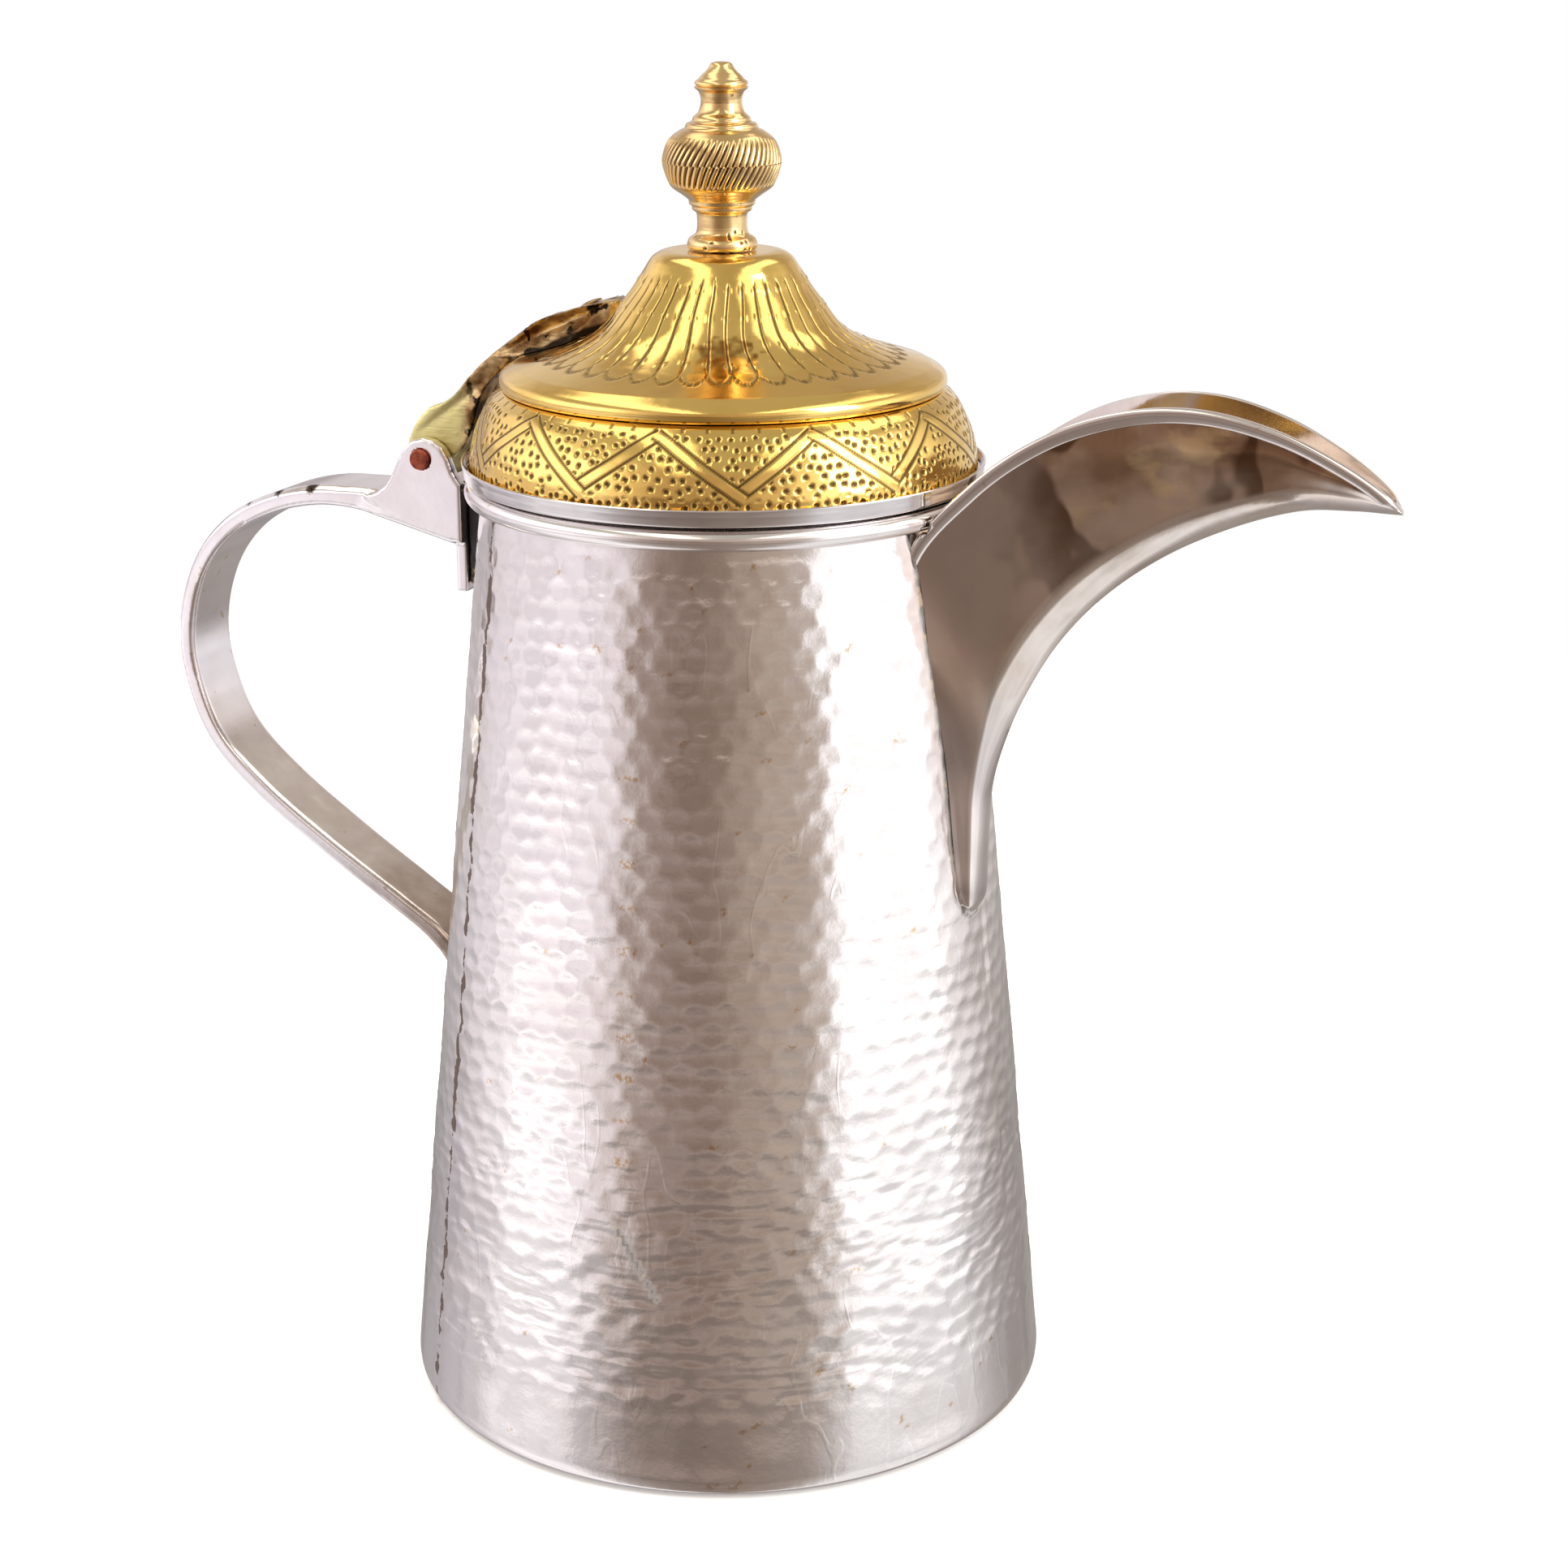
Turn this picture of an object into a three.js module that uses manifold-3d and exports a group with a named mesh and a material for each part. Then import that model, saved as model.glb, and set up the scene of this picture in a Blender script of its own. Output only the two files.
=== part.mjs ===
// Hammered dallah coffee pot: a tapered sheet-metal pot with a crescent spout, a cast strap
// handle and a raised brass lid that turns on a copper pin between the handle's two ears.
// Millimetres, +Z up. The origin is the centre of the base, +X points to the spout and the
// hinge pin lies along Y.

import * as THREE from "three";
import { mergeVertices } from "three/addons/utils/BufferGeometryUtils.js";
import Module from "manifold-3d";

const wasm = await Module();
wasm.setup();

// ---- Driving dimensions ----

const ROUND = 48; // facets of a large turned piece
const SMALL_ROUND = 24; // facets of a pin, stud or rivet
const GAP = 0.3; // space left between pieces that touch

const BASE_RADIUS = 74.5; // outside of the pot at its foot
const TAPER = 0.1005; // radius lost for each millimetre of height
const WALL = 1.2; // sheet of the pot
const MOUTH_HEIGHT = 211;
const FOOT_ROUNDING = 3.2;
const FOOT_RING_RADIUS = 62; // inner edge of the foot's turned-in ring

const BEAD_LOW = 206.6; // rolled rim under the lid
const BEAD_HIGH = 211.4;
const BEAD_RADIUS = 57;

const RING_LOW = 211.8; // the lid's plated ring
const RING_INNER = 49;
const LIP_RADIUS = 57.6;
const LIP_HIGH = 215.7;
const DOME_LOW = 213.8; // lower edge of the brass dome
const DOME_HIGH = 260.7;
const DOME_WALL = 1.2;
const COLLAR_RADIUS = 50.9; // the flange that enters the mouth
const COLLAR_DEPTH = 7;

const PIN_X = -70.5;
const PIN_Z = 211.3;
const PIN_RADIUS = 2.35;
const PIN_LENGTH = 22.6;
const PIN_HOLE = PIN_RADIUS + 0.4;

const EAR_OUTSIDE = 10; // half distance over the two ears
const EAR_INSIDE = 7.3; // half distance between them
const KNUCKLE_HALF = 6.7;
const FLANGE_OUTER = -63.2; // the upright plate that carries the handle
const FLANGE_INNER = -60.6;
const FLANGE_LOW = 181;
const FLANGE_HIGH = 205.5;
const FLANGE_HALF = 8;

const STUD_RADIUS = 2;
const FINIAL_HEIGHT = 39;
const FINIAL_BORE = 13.5; // depth of the stud's hole in the finial

const SPOUT_WALL = 1.2;
const TAIL_LEAN = -6.5; // sideways set of the spout's tail
const EDGE_STRIP = 3; // height of the strips along the spout's edges

const potRadius = (z) => BASE_RADIUS - TAPER * z;

// ---- Finishes ----

const metal = (color, roughness) => new THREE.MeshStandardMaterial({ color, roughness, metalness: 1 });
const hammered = metal(0xb9b3b3, 0.22);
const plated = metal(0xc9c4c6, 0.18);
const brass = metal(0xd8ad3c, 0.2);
const agedBrass = metal(0x9a6f34, 0.4);
const copper = metal(0x9c4030, 0.35);

// ---- Geometry helpers ----

const at = (x, y) => new THREE.Vector2(x, y);

/** Merges a geometry's shared corners and turns its faces outwards. */
function closed(geometry) {
  const bare = geometry.clone();
  bare.deleteAttribute("normal");
  bare.deleteAttribute("uv");
  const merged = mergeVertices(bare, 1e-4);
  const position = merged.attributes.position;
  const faces = [];
  let volume = 0;
  for (let i = 0; i < merged.index.count; i += 3) {
    const corners = [0, 1, 2].map((k) => merged.index.getX(i + k));
    if (new Set(corners).size === 3) {
      const [a, b, c] = corners.map((k) => new THREE.Vector3().fromBufferAttribute(position, k));
      volume += a.dot(b.cross(c));
      faces.push(corners);
    }
  }
  merged.setIndex(faces.flatMap(([a, b, c]) => (volume < 0 ? [a, c, b] : [a, b, c])));
  return merged;
}

function toSolid(geometry) {
  const whole = closed(geometry);
  const vertProperties = new Float32Array(whole.attributes.position.array);
  const triVerts = new Uint32Array(whole.index.array);
  return new wasm.Manifold(new wasm.Mesh({ numProp: 3, vertProperties, triVerts }));
}

function toGeometry(solid) {
  const mesh = solid.getMesh();
  const geometry = new THREE.BufferGeometry();
  geometry.setAttribute("position", new THREE.BufferAttribute(new Float32Array(mesh.vertProperties), 3));
  geometry.setIndex(new THREE.BufferAttribute(new Uint32Array(mesh.triVerts), 1));
  return geometry;
}

/** A piece turned about Z from an outline of (radius, height) points. */
function turned(outline, facets = ROUND) {
  return new THREE.LatheGeometry(outline, facets).rotateX(Math.PI / 2);
}

/** A ring whose outline is closed by repeating its first point. */
function ring(outline, facets = ROUND) {
  return turned([...outline, outline[0]], facets);
}

/** A side outline of (x, z) points, extruded across Y and centred on it. */
function plate(outline, width) {
  const depth = { depth: width, bevelEnabled: false, curveSegments: 8 };
  return new THREE.ExtrudeGeometry(new THREE.Shape(outline), depth)
    .rotateX(Math.PI / 2)
    .translate(0, width / 2, 0);
}

/** A round bar along Y. */
function crossBar(radius, length, x, z) {
  return new THREE.CylinderGeometry(radius, radius, length, SMALL_ROUND).translate(x, 0, z);
}

/** A solid through a row of closed sections that all have the same number of corners. */
function loft(sections) {
  const count = sections[0].length;
  const corners = sections.flat();
  const index = [];
  for (let s = 0; s + 1 < sections.length; s++) {
    for (let k = 0; k < count; k++) {
      const a = s * count + k;
      const b = s * count + ((k + 1) % count);
      index.push(a, b, b + count, a, b + count, a + count);
    }
  }
  const last = (sections.length - 1) * count;
  for (let k = 1; k + 1 < count; k++) {
    index.push(0, k + 1, k, last, last + k, last + k + 1);
  }
  const geometry = new THREE.BufferGeometry().setFromPoints(corners);
  geometry.setIndex(index);
  return geometry;
}

/** Moves each point of an open outline sideways, to the right of its direction. */
function offset(points, distance) {
  return points.map((point, i) => {
    const before = points[Math.max(i - 1, 0)];
    const after = points[Math.min(i + 1, points.length - 1)];
    const along = after.clone().sub(before).normalize();
    const size = typeof distance === "function" ? distance(i / (points.length - 1)) : distance;
    return at(point.x + along.y * size, point.y - along.x * size);
  });
}

/** Reads a value from a short table of [position, value] rows, linear between the rows. */
function tabled(rows, position) {
  if (position <= rows[0][0]) return rows[0][1];
  const next = rows.findIndex((row) => row[0] >= position);
  if (next < 0) return rows[rows.length - 1][1];
  const [p0, v0] = rows[next - 1];
  const [p1, v1] = rows[next];
  return THREE.MathUtils.mapLinear(position, p0, p1, v0, v1);
}

/** Widens or narrows a plate of width 1, by the width that belongs to each corner. */
function shapedWidth(geometry, widthAt) {
  const position = geometry.attributes.position;
  for (let i = 0; i < position.count; i++) {
    position.setY(i, position.getY(i) * widthAt(position.getX(i), position.getZ(i)));
  }
  return geometry;
}

function piece(name, shape, material, height = 0) {
  const geometry = shape.isBufferGeometry ? closed(shape) : toGeometry(shape);
  const mesh = new THREE.Mesh(geometry, material);
  mesh.name = name;
  mesh.position.z = height;
  return mesh;
}

const smooth = (points, steps) => new THREE.SplineCurve(points).getPoints(steps);

// ---- Pot ----

/** The space that the pot, its rolled rim and the lid above it keep free of other pieces. */
function potSpace() {
  const rimClearance = LIP_RADIUS + 0.7;
  return toSolid(
    turned([
      at(0, -5),
      at(potRadius(-5) + GAP, -5),
      at(potRadius(BEAD_LOW) + GAP, BEAD_LOW - GAP),
      at(BEAD_RADIUS + GAP, BEAD_LOW - GAP),
      at(rimClearance, RING_LOW - GAP),
      at(rimClearance, LIP_HIGH + 60),
      at(0, LIP_HIGH + 60),
    ]),
  );
}

function potShell() {
  const foot = new THREE.Path();
  foot.moveTo(FOOT_RING_RADIUS, 0);
  foot.lineTo(BASE_RADIUS - FOOT_ROUNDING, 0);
  foot.quadraticCurveTo(BASE_RADIUS - 0.2, 0, potRadius(FOOT_ROUNDING), FOOT_ROUNDING);
  const outside = [...foot.getPoints(5), at(potRadius(MOUTH_HEIGHT), MOUTH_HEIGHT)];
  const inside = outside
    .slice(1, -1)
    .reverse()
    .map((point) => at(point.x - WALL, Math.max(point.y, WALL)));
  const outline = [
    ...outside,
    at(potRadius(MOUTH_HEIGHT) - WALL, MOUTH_HEIGHT),
    ...inside.filter((point) => point.y > WALL),
    at(BASE_RADIUS - FOOT_ROUNDING - 1, WALL),
    at(FOOT_RING_RADIUS, WALL),
  ];
  const window = new THREE.Shape([
    at(-11.5, 199),
    at(11.5, 199),
    at(7, 178),
    at(-2, 142),
    at(-7, 142),
    at(-9.5, 178),
  ]);
  const cutter = new THREE.ExtrudeGeometry(window, { depth: 40, bevelEnabled: false })
    .rotateX(Math.PI / 2)
    .rotateZ(Math.PI / 2)
    .translate(40, 0, 0);
  return toSolid(ring(outline)).subtract(toSolid(cutter));
}

/** The base stands on its own flat face and laps over the foot's turned-in ring from inside. */
function baseDisc() {
  const step = WALL + GAP;
  const plug = FOOT_RING_RADIUS - GAP;
  return turned([at(0, 0), at(plug, 0), at(plug, step), at(70.4, step), at(70.8, step + WALL), at(0, step + WALL)]);
}

function rimBead() {
  const inner = potRadius(BEAD_LOW) + GAP;
  const half = (BEAD_HIGH - BEAD_LOW) / 2;
  const outline = new THREE.EllipseCurve(
    inner,
    BEAD_LOW + half,
    BEAD_RADIUS - inner,
    half,
    -Math.PI / 2,
    Math.PI / 2,
  ).getPoints(8);
  return ring(outline);
}

// ---- Spout ----

// Ribs across the spout, from the tail on the pot to the tip. Each names a point on the spout's
// edge, the point of the keel below it, the half width at the edge and the half width of the keel.
const SPOUT_RIBS = [
  { edge: [60.6, 120.6], keel: [62.6, 119.4], half: 2.4, keelHalf: 2.4, keelDepth: 0.4 },
  { edge: [60.2, 124], keel: [64.2, 123.6], half: 5.4, keelHalf: 5.2, keelDepth: 1.4 },
  { edge: [58.8, 136], keel: [64.8, 135], half: 6.2, keelHalf: 5.8, keelDepth: 2.6 },
  { edge: [56.8, 155], keel: [65.3, 148], half: 7.4, keelHalf: 6.4, keelDepth: 3.8 },
  { edge: [53.6, 178], keel: [67.7, 158.3], half: 11.6, keelHalf: 7, keelDepth: 4.8 },
  { edge: [49.5, 200], keel: [71.6, 169], half: 14.8, keelHalf: 7.2, keelDepth: 5 },
  { edge: [62.5, 217], keel: [78.6, 181.6], half: 14.4, keelHalf: 7.2, keelDepth: 5 },
  { edge: [78, 228.3], keel: [88.6, 193], half: 13.4, keelHalf: 7, keelDepth: 5 },
  { edge: [94, 234], keel: [101.4, 202.6], half: 11.4, keelHalf: 6.6, keelDepth: 5.2 },
  { edge: [109, 235], keel: [115.4, 209.7], half: 9.2, keelHalf: 6, keelDepth: 5.4 },
  { edge: [124, 231.6], keel: [128.6, 214.1], half: 6.9, keelHalf: 5, keelDepth: 5 },
  { edge: [137, 225.6], keel: [139.4, 215], half: 4.9, keelHalf: 3.8, keelDepth: 3.8 },
  { edge: [145.6, 220], keel: [146.6, 215], half: 3, keelHalf: 2.4, keelDepth: 2 },
  { edge: [149.2, 216], keel: [149.6, 215], half: 0.9, keelHalf: 0.8, keelDepth: 0.4 },
];
const RIB_STEPS = 2; // sections made for each rib of the list

/** The rib at t, from 0 at the tail to 1 at the tip, on smooth curves through the list. */
function ribAt(t) {
  const curve = (read) => new THREE.SplineCurve(SPOUT_RIBS.map(read)).getPoint(t);
  const edge = curve((rib) => at(...rib.edge));
  const keel = curve((rib) => at(...rib.keel));
  const halves = curve((rib) => at(rib.half, rib.keelHalf));
  const depth = curve((rib) => at(rib.keelDepth, 0)).x;
  const lean = TAIL_LEAN * THREE.MathUtils.smoothstep(210 - keel.y, 10, 80);
  return { edge, keel, half: halves.x, keelHalf: halves.y, depth, lean };
}

/** One closed section of the spout, drawn in by inset and raised by rise at its open side. */
function spoutSection(rib, inset, rise) {
  const up = rib.edge.clone().sub(rib.keel).normalize();
  const point = (along, side, y) =>
    new THREE.Vector3(side.x + up.x * along, rib.lean + y, side.y + up.y * along);
  const half = Math.max(rib.half - inset, 0.15);
  const keelHalf = Math.max(rib.keelHalf - inset, 0.12);
  const corners = [point(rise, rib.edge, half)];
  for (let k = 0; k <= 6; k++) {
    const angle = (Math.PI * k) / 6;
    const drop = rib.depth * (1 - Math.sin(angle));
    corners.push(point(inset + drop, rib.keel, keelHalf * Math.cos(angle)));
  }
  corners.push(point(rise, rib.edge, -half));
  return corners;
}

function spoutSections(inset, rise, from, to) {
  const steps = (SPOUT_RIBS.length - 1) * RIB_STEPS;
  const sections = [];
  for (let i = 0; i <= steps; i++) {
    const t = i / steps;
    if (t >= from && t <= to) sections.push(spoutSection(ribAt(t), inset, rise));
  }
  return sections;
}

function spoutShell() {
  const outside = toSolid(loft(spoutSections(0, 0, 0, 1)));
  const inside = toSolid(loft(spoutSections(SPOUT_WALL, 2, 0.14, 0.97)));
  return outside.subtract(inside).subtract(potSpace());
}

/** The strip along one edge of the spout: side is 1 for the left edge and -1 for the right. */
function spoutEdge(side) {
  const thickness = 1;
  const steps = 26;
  const sections = [];
  for (let i = 0; i <= steps; i++) {
    const rib = ribAt(THREE.MathUtils.lerp(0.37, 0.985, i / steps));
    const across = rib.edge.clone().sub(rib.keel);
    const down = across.clone().normalize().negate();
    const height = Math.min(EDGE_STRIP, across.length() * 0.6);
    const wallLength = Math.max(across.length() - rib.depth, 0.5);
    const lower = THREE.MathUtils.lerp(rib.half, rib.keelHalf, Math.min(height / wallLength, 1));
    const corner = (drop, y) =>
      new THREE.Vector3(rib.edge.x + down.x * drop, side * y + rib.lean, rib.edge.y + down.y * drop);
    sections.push([
      corner(0, rib.half + GAP),
      corner(0.3, rib.half + GAP + thickness),
      corner(height - 0.3, lower + GAP + thickness),
      corner(height, lower + GAP),
    ]);
  }
  return toSolid(loft(sections)).subtract(potSpace());
}

// ---- Handle ----

const HANDLE_INNER_CURVE = [
  at(-63.6, 192.1),
  at(-75, 194.9),
  at(-88, 197.7),
  at(-99, 198),
  at(-111, 195.2),
  at(-122.8, 189),
  at(-131.2, 179.3),
  at(-135.6, 166.5),
  at(-135.2, 154),
  at(-129.5, 139.5),
  at(-117.5, 127.7),
  at(-99.5, 115.2),
  at(-81.5, 104),
  at(-71, 97),
  at(-66.3, 90),
  at(-66, 77),
];
const HANDLE_THICKNESS = [
  [0, 9],
  [0.07, 6.5],
  [0.14, 4.6],
  [0.4, 4.4],
  [0.7, 4.3],
  [0.86, 4.5],
  [0.93, 5],
  [1, 2.6],
];
const HANDLE_WIDTH = [
  [76, 8],
  [84, 13],
  [96, 16.5],
  [120, 17.2],
  [170, 16.6],
  [188, 17.2],
  [200, 2 * EAR_OUTSIDE],
];

const EAR_OUTLINE = [
  at(-84, 200),
  at(-80.4, 202.8),
  at(-78.3, 206.4),
  at(-76.2, 210.8),
  at(-74.6, 213.8),
  at(-72.6, 215.5),
  at(-70.2, 216),
  at(-67.6, 215.6),
  at(-65.4, 214.2),
  at(-63.9, 211.6),
  at(-62.8, 208.6),
  at(-61.6, 206.6),
  at(FLANGE_INNER, 205.9),
  at(FLANGE_INNER, 192.3),
  at(-72, 194.8),
];

function handle() {
  const inner = smooth(HANDLE_INNER_CURVE, 60);
  const outer = offset(inner, (t) => tabled(HANDLE_THICKNESS, t));
  const strap = shapedWidth(plate([...inner, ...outer.reverse()], 1), (x, z) => tabled(HANDLE_WIDTH, z));
  const earWidth = EAR_OUTSIDE - EAR_INSIDE;
  const earMiddle = (EAR_OUTSIDE + EAR_INSIDE) / 2;
  const ears = [-1, 1].map((side) => plate(EAR_OUTLINE, earWidth).translate(0, side * earMiddle, 0));
  const flange = new THREE.BoxGeometry(
    FLANGE_INNER - FLANGE_OUTER,
    2 * FLANGE_HALF,
    FLANGE_HIGH - FLANGE_LOW,
  ).translate((FLANGE_INNER + FLANGE_OUTER) / 2, 0, (FLANGE_HIGH + FLANGE_LOW) / 2);
  const knuckleRoom = crossBar(8, 2 * EAR_INSIDE, PIN_X, PIN_Z);
  const pinHole = crossBar(PIN_HOLE, 40, PIN_X, PIN_Z);
  const notches = HANDLE_NOTCHES.flatMap((x) => [-1, 1].map((side) => handleNotch(x, side)));
  const body = [...ears, flange].reduce((sum, part) => sum.add(toSolid(part)), toSolid(strap));
  return [knuckleRoom, pinHole, ...notches]
    .reduce((rest, part) => rest.subtract(toSolid(part)), body)
    .subtract(potSpace());
}

const HANDLE_NOTCHES = [-100.8, -110, -118.6]; // three V cuts in each upper edge

/** A V cut across one upper edge of the handle, square to its curve. */
function handleNotch(x, side) {
  const size = 1.9;
  const top = tabled([[-120, 198.2], [-110, 201.3], [-100, 202.8]], x);
  const lean = tabled([[-120, 0.45], [-100, 0.1]], x);
  return new THREE.CylinderGeometry(size, size, 4.5, 4)
    .scale(0.62, 1, 1)
    .rotateY(lean)
    .translate(x, side * 10, top + 0.35);
}

function saddlePad() {
  const reach = 8;
  const block = new THREE.BoxGeometry(reach, 2 * FLANGE_HALF - 0.8, 22.4);
  return toSolid(block.translate(FLANGE_INNER + GAP + reach / 2, 0, 193.2)).subtract(potSpace());
}

function hingePin() {
  return crossBar(PIN_RADIUS, PIN_LENGTH, PIN_X, PIN_Z);
}

// ---- Lid ----

/** The dome's outer outline, from its lower edge up to the flat top. */
function domeOutline() {
  const band = smooth([at(55.9, DOME_LOW), at(55.4, 218), at(54, 223), at(51.4, 228.4), at(48, 231.3)], 6);
  const ridge = smooth([at(48.5, 232), at(48.9, 233.2), at(48, 234.9), at(45.2, 236.3)], 4);
  const flare = smooth([at(40.8, 237.6), at(31.8, 240.8), at(25.2, 245.2), at(20.6, 251), at(16.4, 257.3)], 6);
  const shoulder = smooth([at(15.2, 258.9), at(13.3, 260.2), at(11, DOME_HIGH)], 2);
  return [...band, ...ridge, ...flare, ...shoulder];
}

const STUD_HOLE = STUD_RADIUS + 0.5;

function lidDome() {
  const outside = [...domeOutline(), at(STUD_HOLE, DOME_HIGH)];
  const inside = offset(outside, -DOME_WALL)
    .filter((point, i) => i % 2 === 0)
    .reverse();
  inside[0].set(STUD_HOLE, DOME_HIGH - DOME_WALL);
  inside[inside.length - 1].set(55.9 - DOME_WALL, DOME_LOW);
  const shell = toSolid(ring([...outside, ...inside]));
  return STRAP_RIVETS.map(rivetHole).reduce((rest, hole) => rest.subtract(toSolid(hole)), shell);
}

function lidRing() {
  return ring([
    at(RING_INNER, RING_LOW),
    at(56.4, RING_LOW),
    at(57.2, RING_LOW + 0.9),
    at(57.4, RING_LOW + 2.6),
    at(LIP_RADIUS, LIP_HIGH - 0.2),
    at(LIP_RADIUS - 0.4, LIP_HIGH),
    at(LIP_RADIUS - 0.8, LIP_HIGH - 0.2),
    at(56.3, DOME_LOW - GAP),
    at(RING_INNER, DOME_LOW - GAP),
  ]);
}

function lidCollar() {
  const high = RING_LOW - GAP;
  const low = high - COLLAR_DEPTH;
  return ring([
    at(COLLAR_RADIUS - 1, low),
    at(COLLAR_RADIUS, low),
    at(COLLAR_RADIUS, high),
    at(COLLAR_RADIUS - 1, high),
  ]);
}

const STRAP_TOP = [
  at(-76.2, 211.3),
  at(-75.2, 215),
  at(-73, 219.4),
  at(-69.6, 222.8),
  at(-65.4, 224.6),
  at(-60.4, 229),
  at(-56.6, 233.3),
  at(-52.2, 237.1),
  at(-47, 240.6),
  at(-38.6, 244.8),
  at(-33, 246.9),
  at(-27.5, 248.4),
  at(-23.6, 248.8),
];
const STRAP_UNDERSIDE = [
  at(-22.8, 247.2),
  at(-25, 244.2),
  at(-30, 241.8),
  at(-36, 239.2),
  at(-42, 237.2),
  at(-46, 235.6),
  at(-48.8, 234),
  at(-52, 231.9),
  at(-55, 228.8),
  at(-56.8, 225.6),
  at(-58.6, 221.5),
  at(-60.6, 215.5),
  at(-64.8, 210.5),
];
const STRAP_HALF_WIDTH = [
  [-63, KNUCKLE_HALF],
  [-57, 6.2],
  [-50, 4.8],
  [-46, 5.6],
  [-42, 7.8],
  [-36, 9.4],
  [-30, 8.4],
  [-26, 6],
  [-23.4, 3],
];

function lidStrap() {
  const outline = [...smooth(STRAP_TOP, 30), ...STRAP_UNDERSIDE];
  const strap = shapedWidth(plate(outline, 1), (x) => 2 * tabled(STRAP_HALF_WIDTH, x));
  const barrel = crossBar(5.8, 2 * KNUCKLE_HALF, PIN_X, PIN_Z);
  const domeSpace = turned([at(0, DOME_LOW), ...offset(domeOutline(), GAP), at(0, DOME_HIGH + GAP)]);
  const room = [crossBar(PIN_HOLE, 40, PIN_X, PIN_Z), domeSpace, ...STRAP_RIVETS.map(rivetHole)];
  return room.reduce((rest, part) => rest.subtract(toSolid(part)), toSolid(strap).add(toSolid(barrel)));
}

// Two rivets hold the strap's leaf to the dome, square to the leaf. Each is given by the point
// where its middle line leaves the top of the leaf.
const STRAP_RIVETS = [at(-40.4, 243.9), at(-31.6, 247.3)];
const RIVET_TILT = THREE.MathUtils.degToRad(-22.5);
const RIVET_RADIUS = 1.3;
const RIVET_HEAD = 2.5;
const RIVET_GRIP = 8; // leaf, air gap and dome together

function rivetHole(top) {
  const hole = RIVET_RADIUS + GAP;
  return turned([at(0, -12), at(hole, -12), at(hole, 6), at(0, 6)], 12)
    .rotateY(RIVET_TILT)
    .translate(top.x, 0, top.y);
}

function strapRivet(top) {
  const low = -RIVET_GRIP - GAP;
  const outline = [
    at(0, low - 0.9),
    at(RIVET_HEAD * 0.7, low - 0.9),
    at(RIVET_HEAD * 0.9, low),
    at(RIVET_RADIUS, low),
    at(RIVET_RADIUS, GAP),
    at(RIVET_HEAD, GAP),
    at(RIVET_HEAD * 0.8, GAP + 0.35),
    at(0, GAP + 0.6),
  ];
  return turned(outline, SMALL_ROUND / 2)
    .rotateY(RIVET_TILT)
    .translate(top.x, 0, top.y);
}

// ---- Finial ----

const FINIAL_LOW = DOME_HIGH + GAP;
const FINIAL_OUTLINE = [
  at(7.3, FINIAL_LOW),
  at(7.5, 261.8),
  at(7.2, 263),
  at(5.6, 264.4),
  at(5.4, 267),
  at(5.55, 268.5),
  at(6.45, 269.9),
  at(7.2, 271.3),
  at(8.8, 272.6),
  at(10.8, 274),
  at(11.8, 275.8),
  at(12.6, 278.1),
  at(12.8, 279.5),
  at(12.5, 281.2),
  at(11.7, 283.5),
  at(10.4, 284.9),
  at(8.6, 286.2),
  at(7.1, 287.6),
  at(5.8, 288.9),
  at(4.7, 290.3),
  at(4.4, 292.2),
  at(4.9, 294),
  at(5.7, 295.1),
  at(5.6, 295.8),
  at(4.2, 297.2),
  at(2.8, 298.6),
  at(2.2, 299.6),
  at(0, 300.1),
];
const STUD_LOW = 253.6;

function finial() {
  const depth = FINIAL_LOW + FINIAL_BORE;
  const bore = STUD_RADIUS + GAP;
  return turned([at(0, depth), at(bore, depth), at(bore, FINIAL_LOW), ...FINIAL_OUTLINE], 28);
}

function finialStud() {
  const high = FINIAL_LOW + FINIAL_BORE - GAP;
  return turned([at(0, STUD_LOW), at(STUD_RADIUS, STUD_LOW), at(STUD_RADIUS, high), at(0, high)], 16);
}

/** A flat ring round the stud, under the dome's top: six facets make it the nut. */
function studRing(radius, low, high, facets) {
  const bore = STUD_RADIUS + 2 * GAP;
  return ring([at(bore, low), at(radius, low), at(radius, high), at(bore, high)], facets);
}

// ---- Assembly ----

const dallah = new THREE.Group();
dallah.add(
  piece("body_shell", potShell(), hammered),
  piece("base_disc", baseDisc(), hammered),
  piece("rim_bead", rimBead(), plated),
  piece("spout_shell", spoutShell(), plated),
  piece("spout_edge_left", spoutEdge(1), plated),
  piece("spout_edge_right", spoutEdge(-1), plated),
  piece("handle", handle(), plated),
  piece("saddle_pad", saddlePad(), agedBrass),
  piece("hinge_pin", hingePin(), copper),
  piece("lid_ring", lidRing(), plated),
  piece("lid_collar", lidCollar(), plated),
  piece("lid_dome", lidDome(), brass),
  piece("lid_strap", lidStrap(), agedBrass),
  ...STRAP_RIVETS.map((top, i) => piece(`strap_rivet_${i + 1}`, strapRivet(top), agedBrass)),
  piece("finial", finial(), brass),
  piece("finial_stud", finialStud(), agedBrass),
  piece("finial_washer", studRing(5.4, 257.9, 259.2, SMALL_ROUND), agedBrass),
  piece("finial_nut", studRing(4.6, 254.6, 257.6, 6), agedBrass),
);
export default dallah;
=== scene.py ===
# Hammered dallah coffee pot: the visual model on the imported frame.
# Lengths below are millimetres and are turned into metres when a mesh is made.
import math

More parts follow.
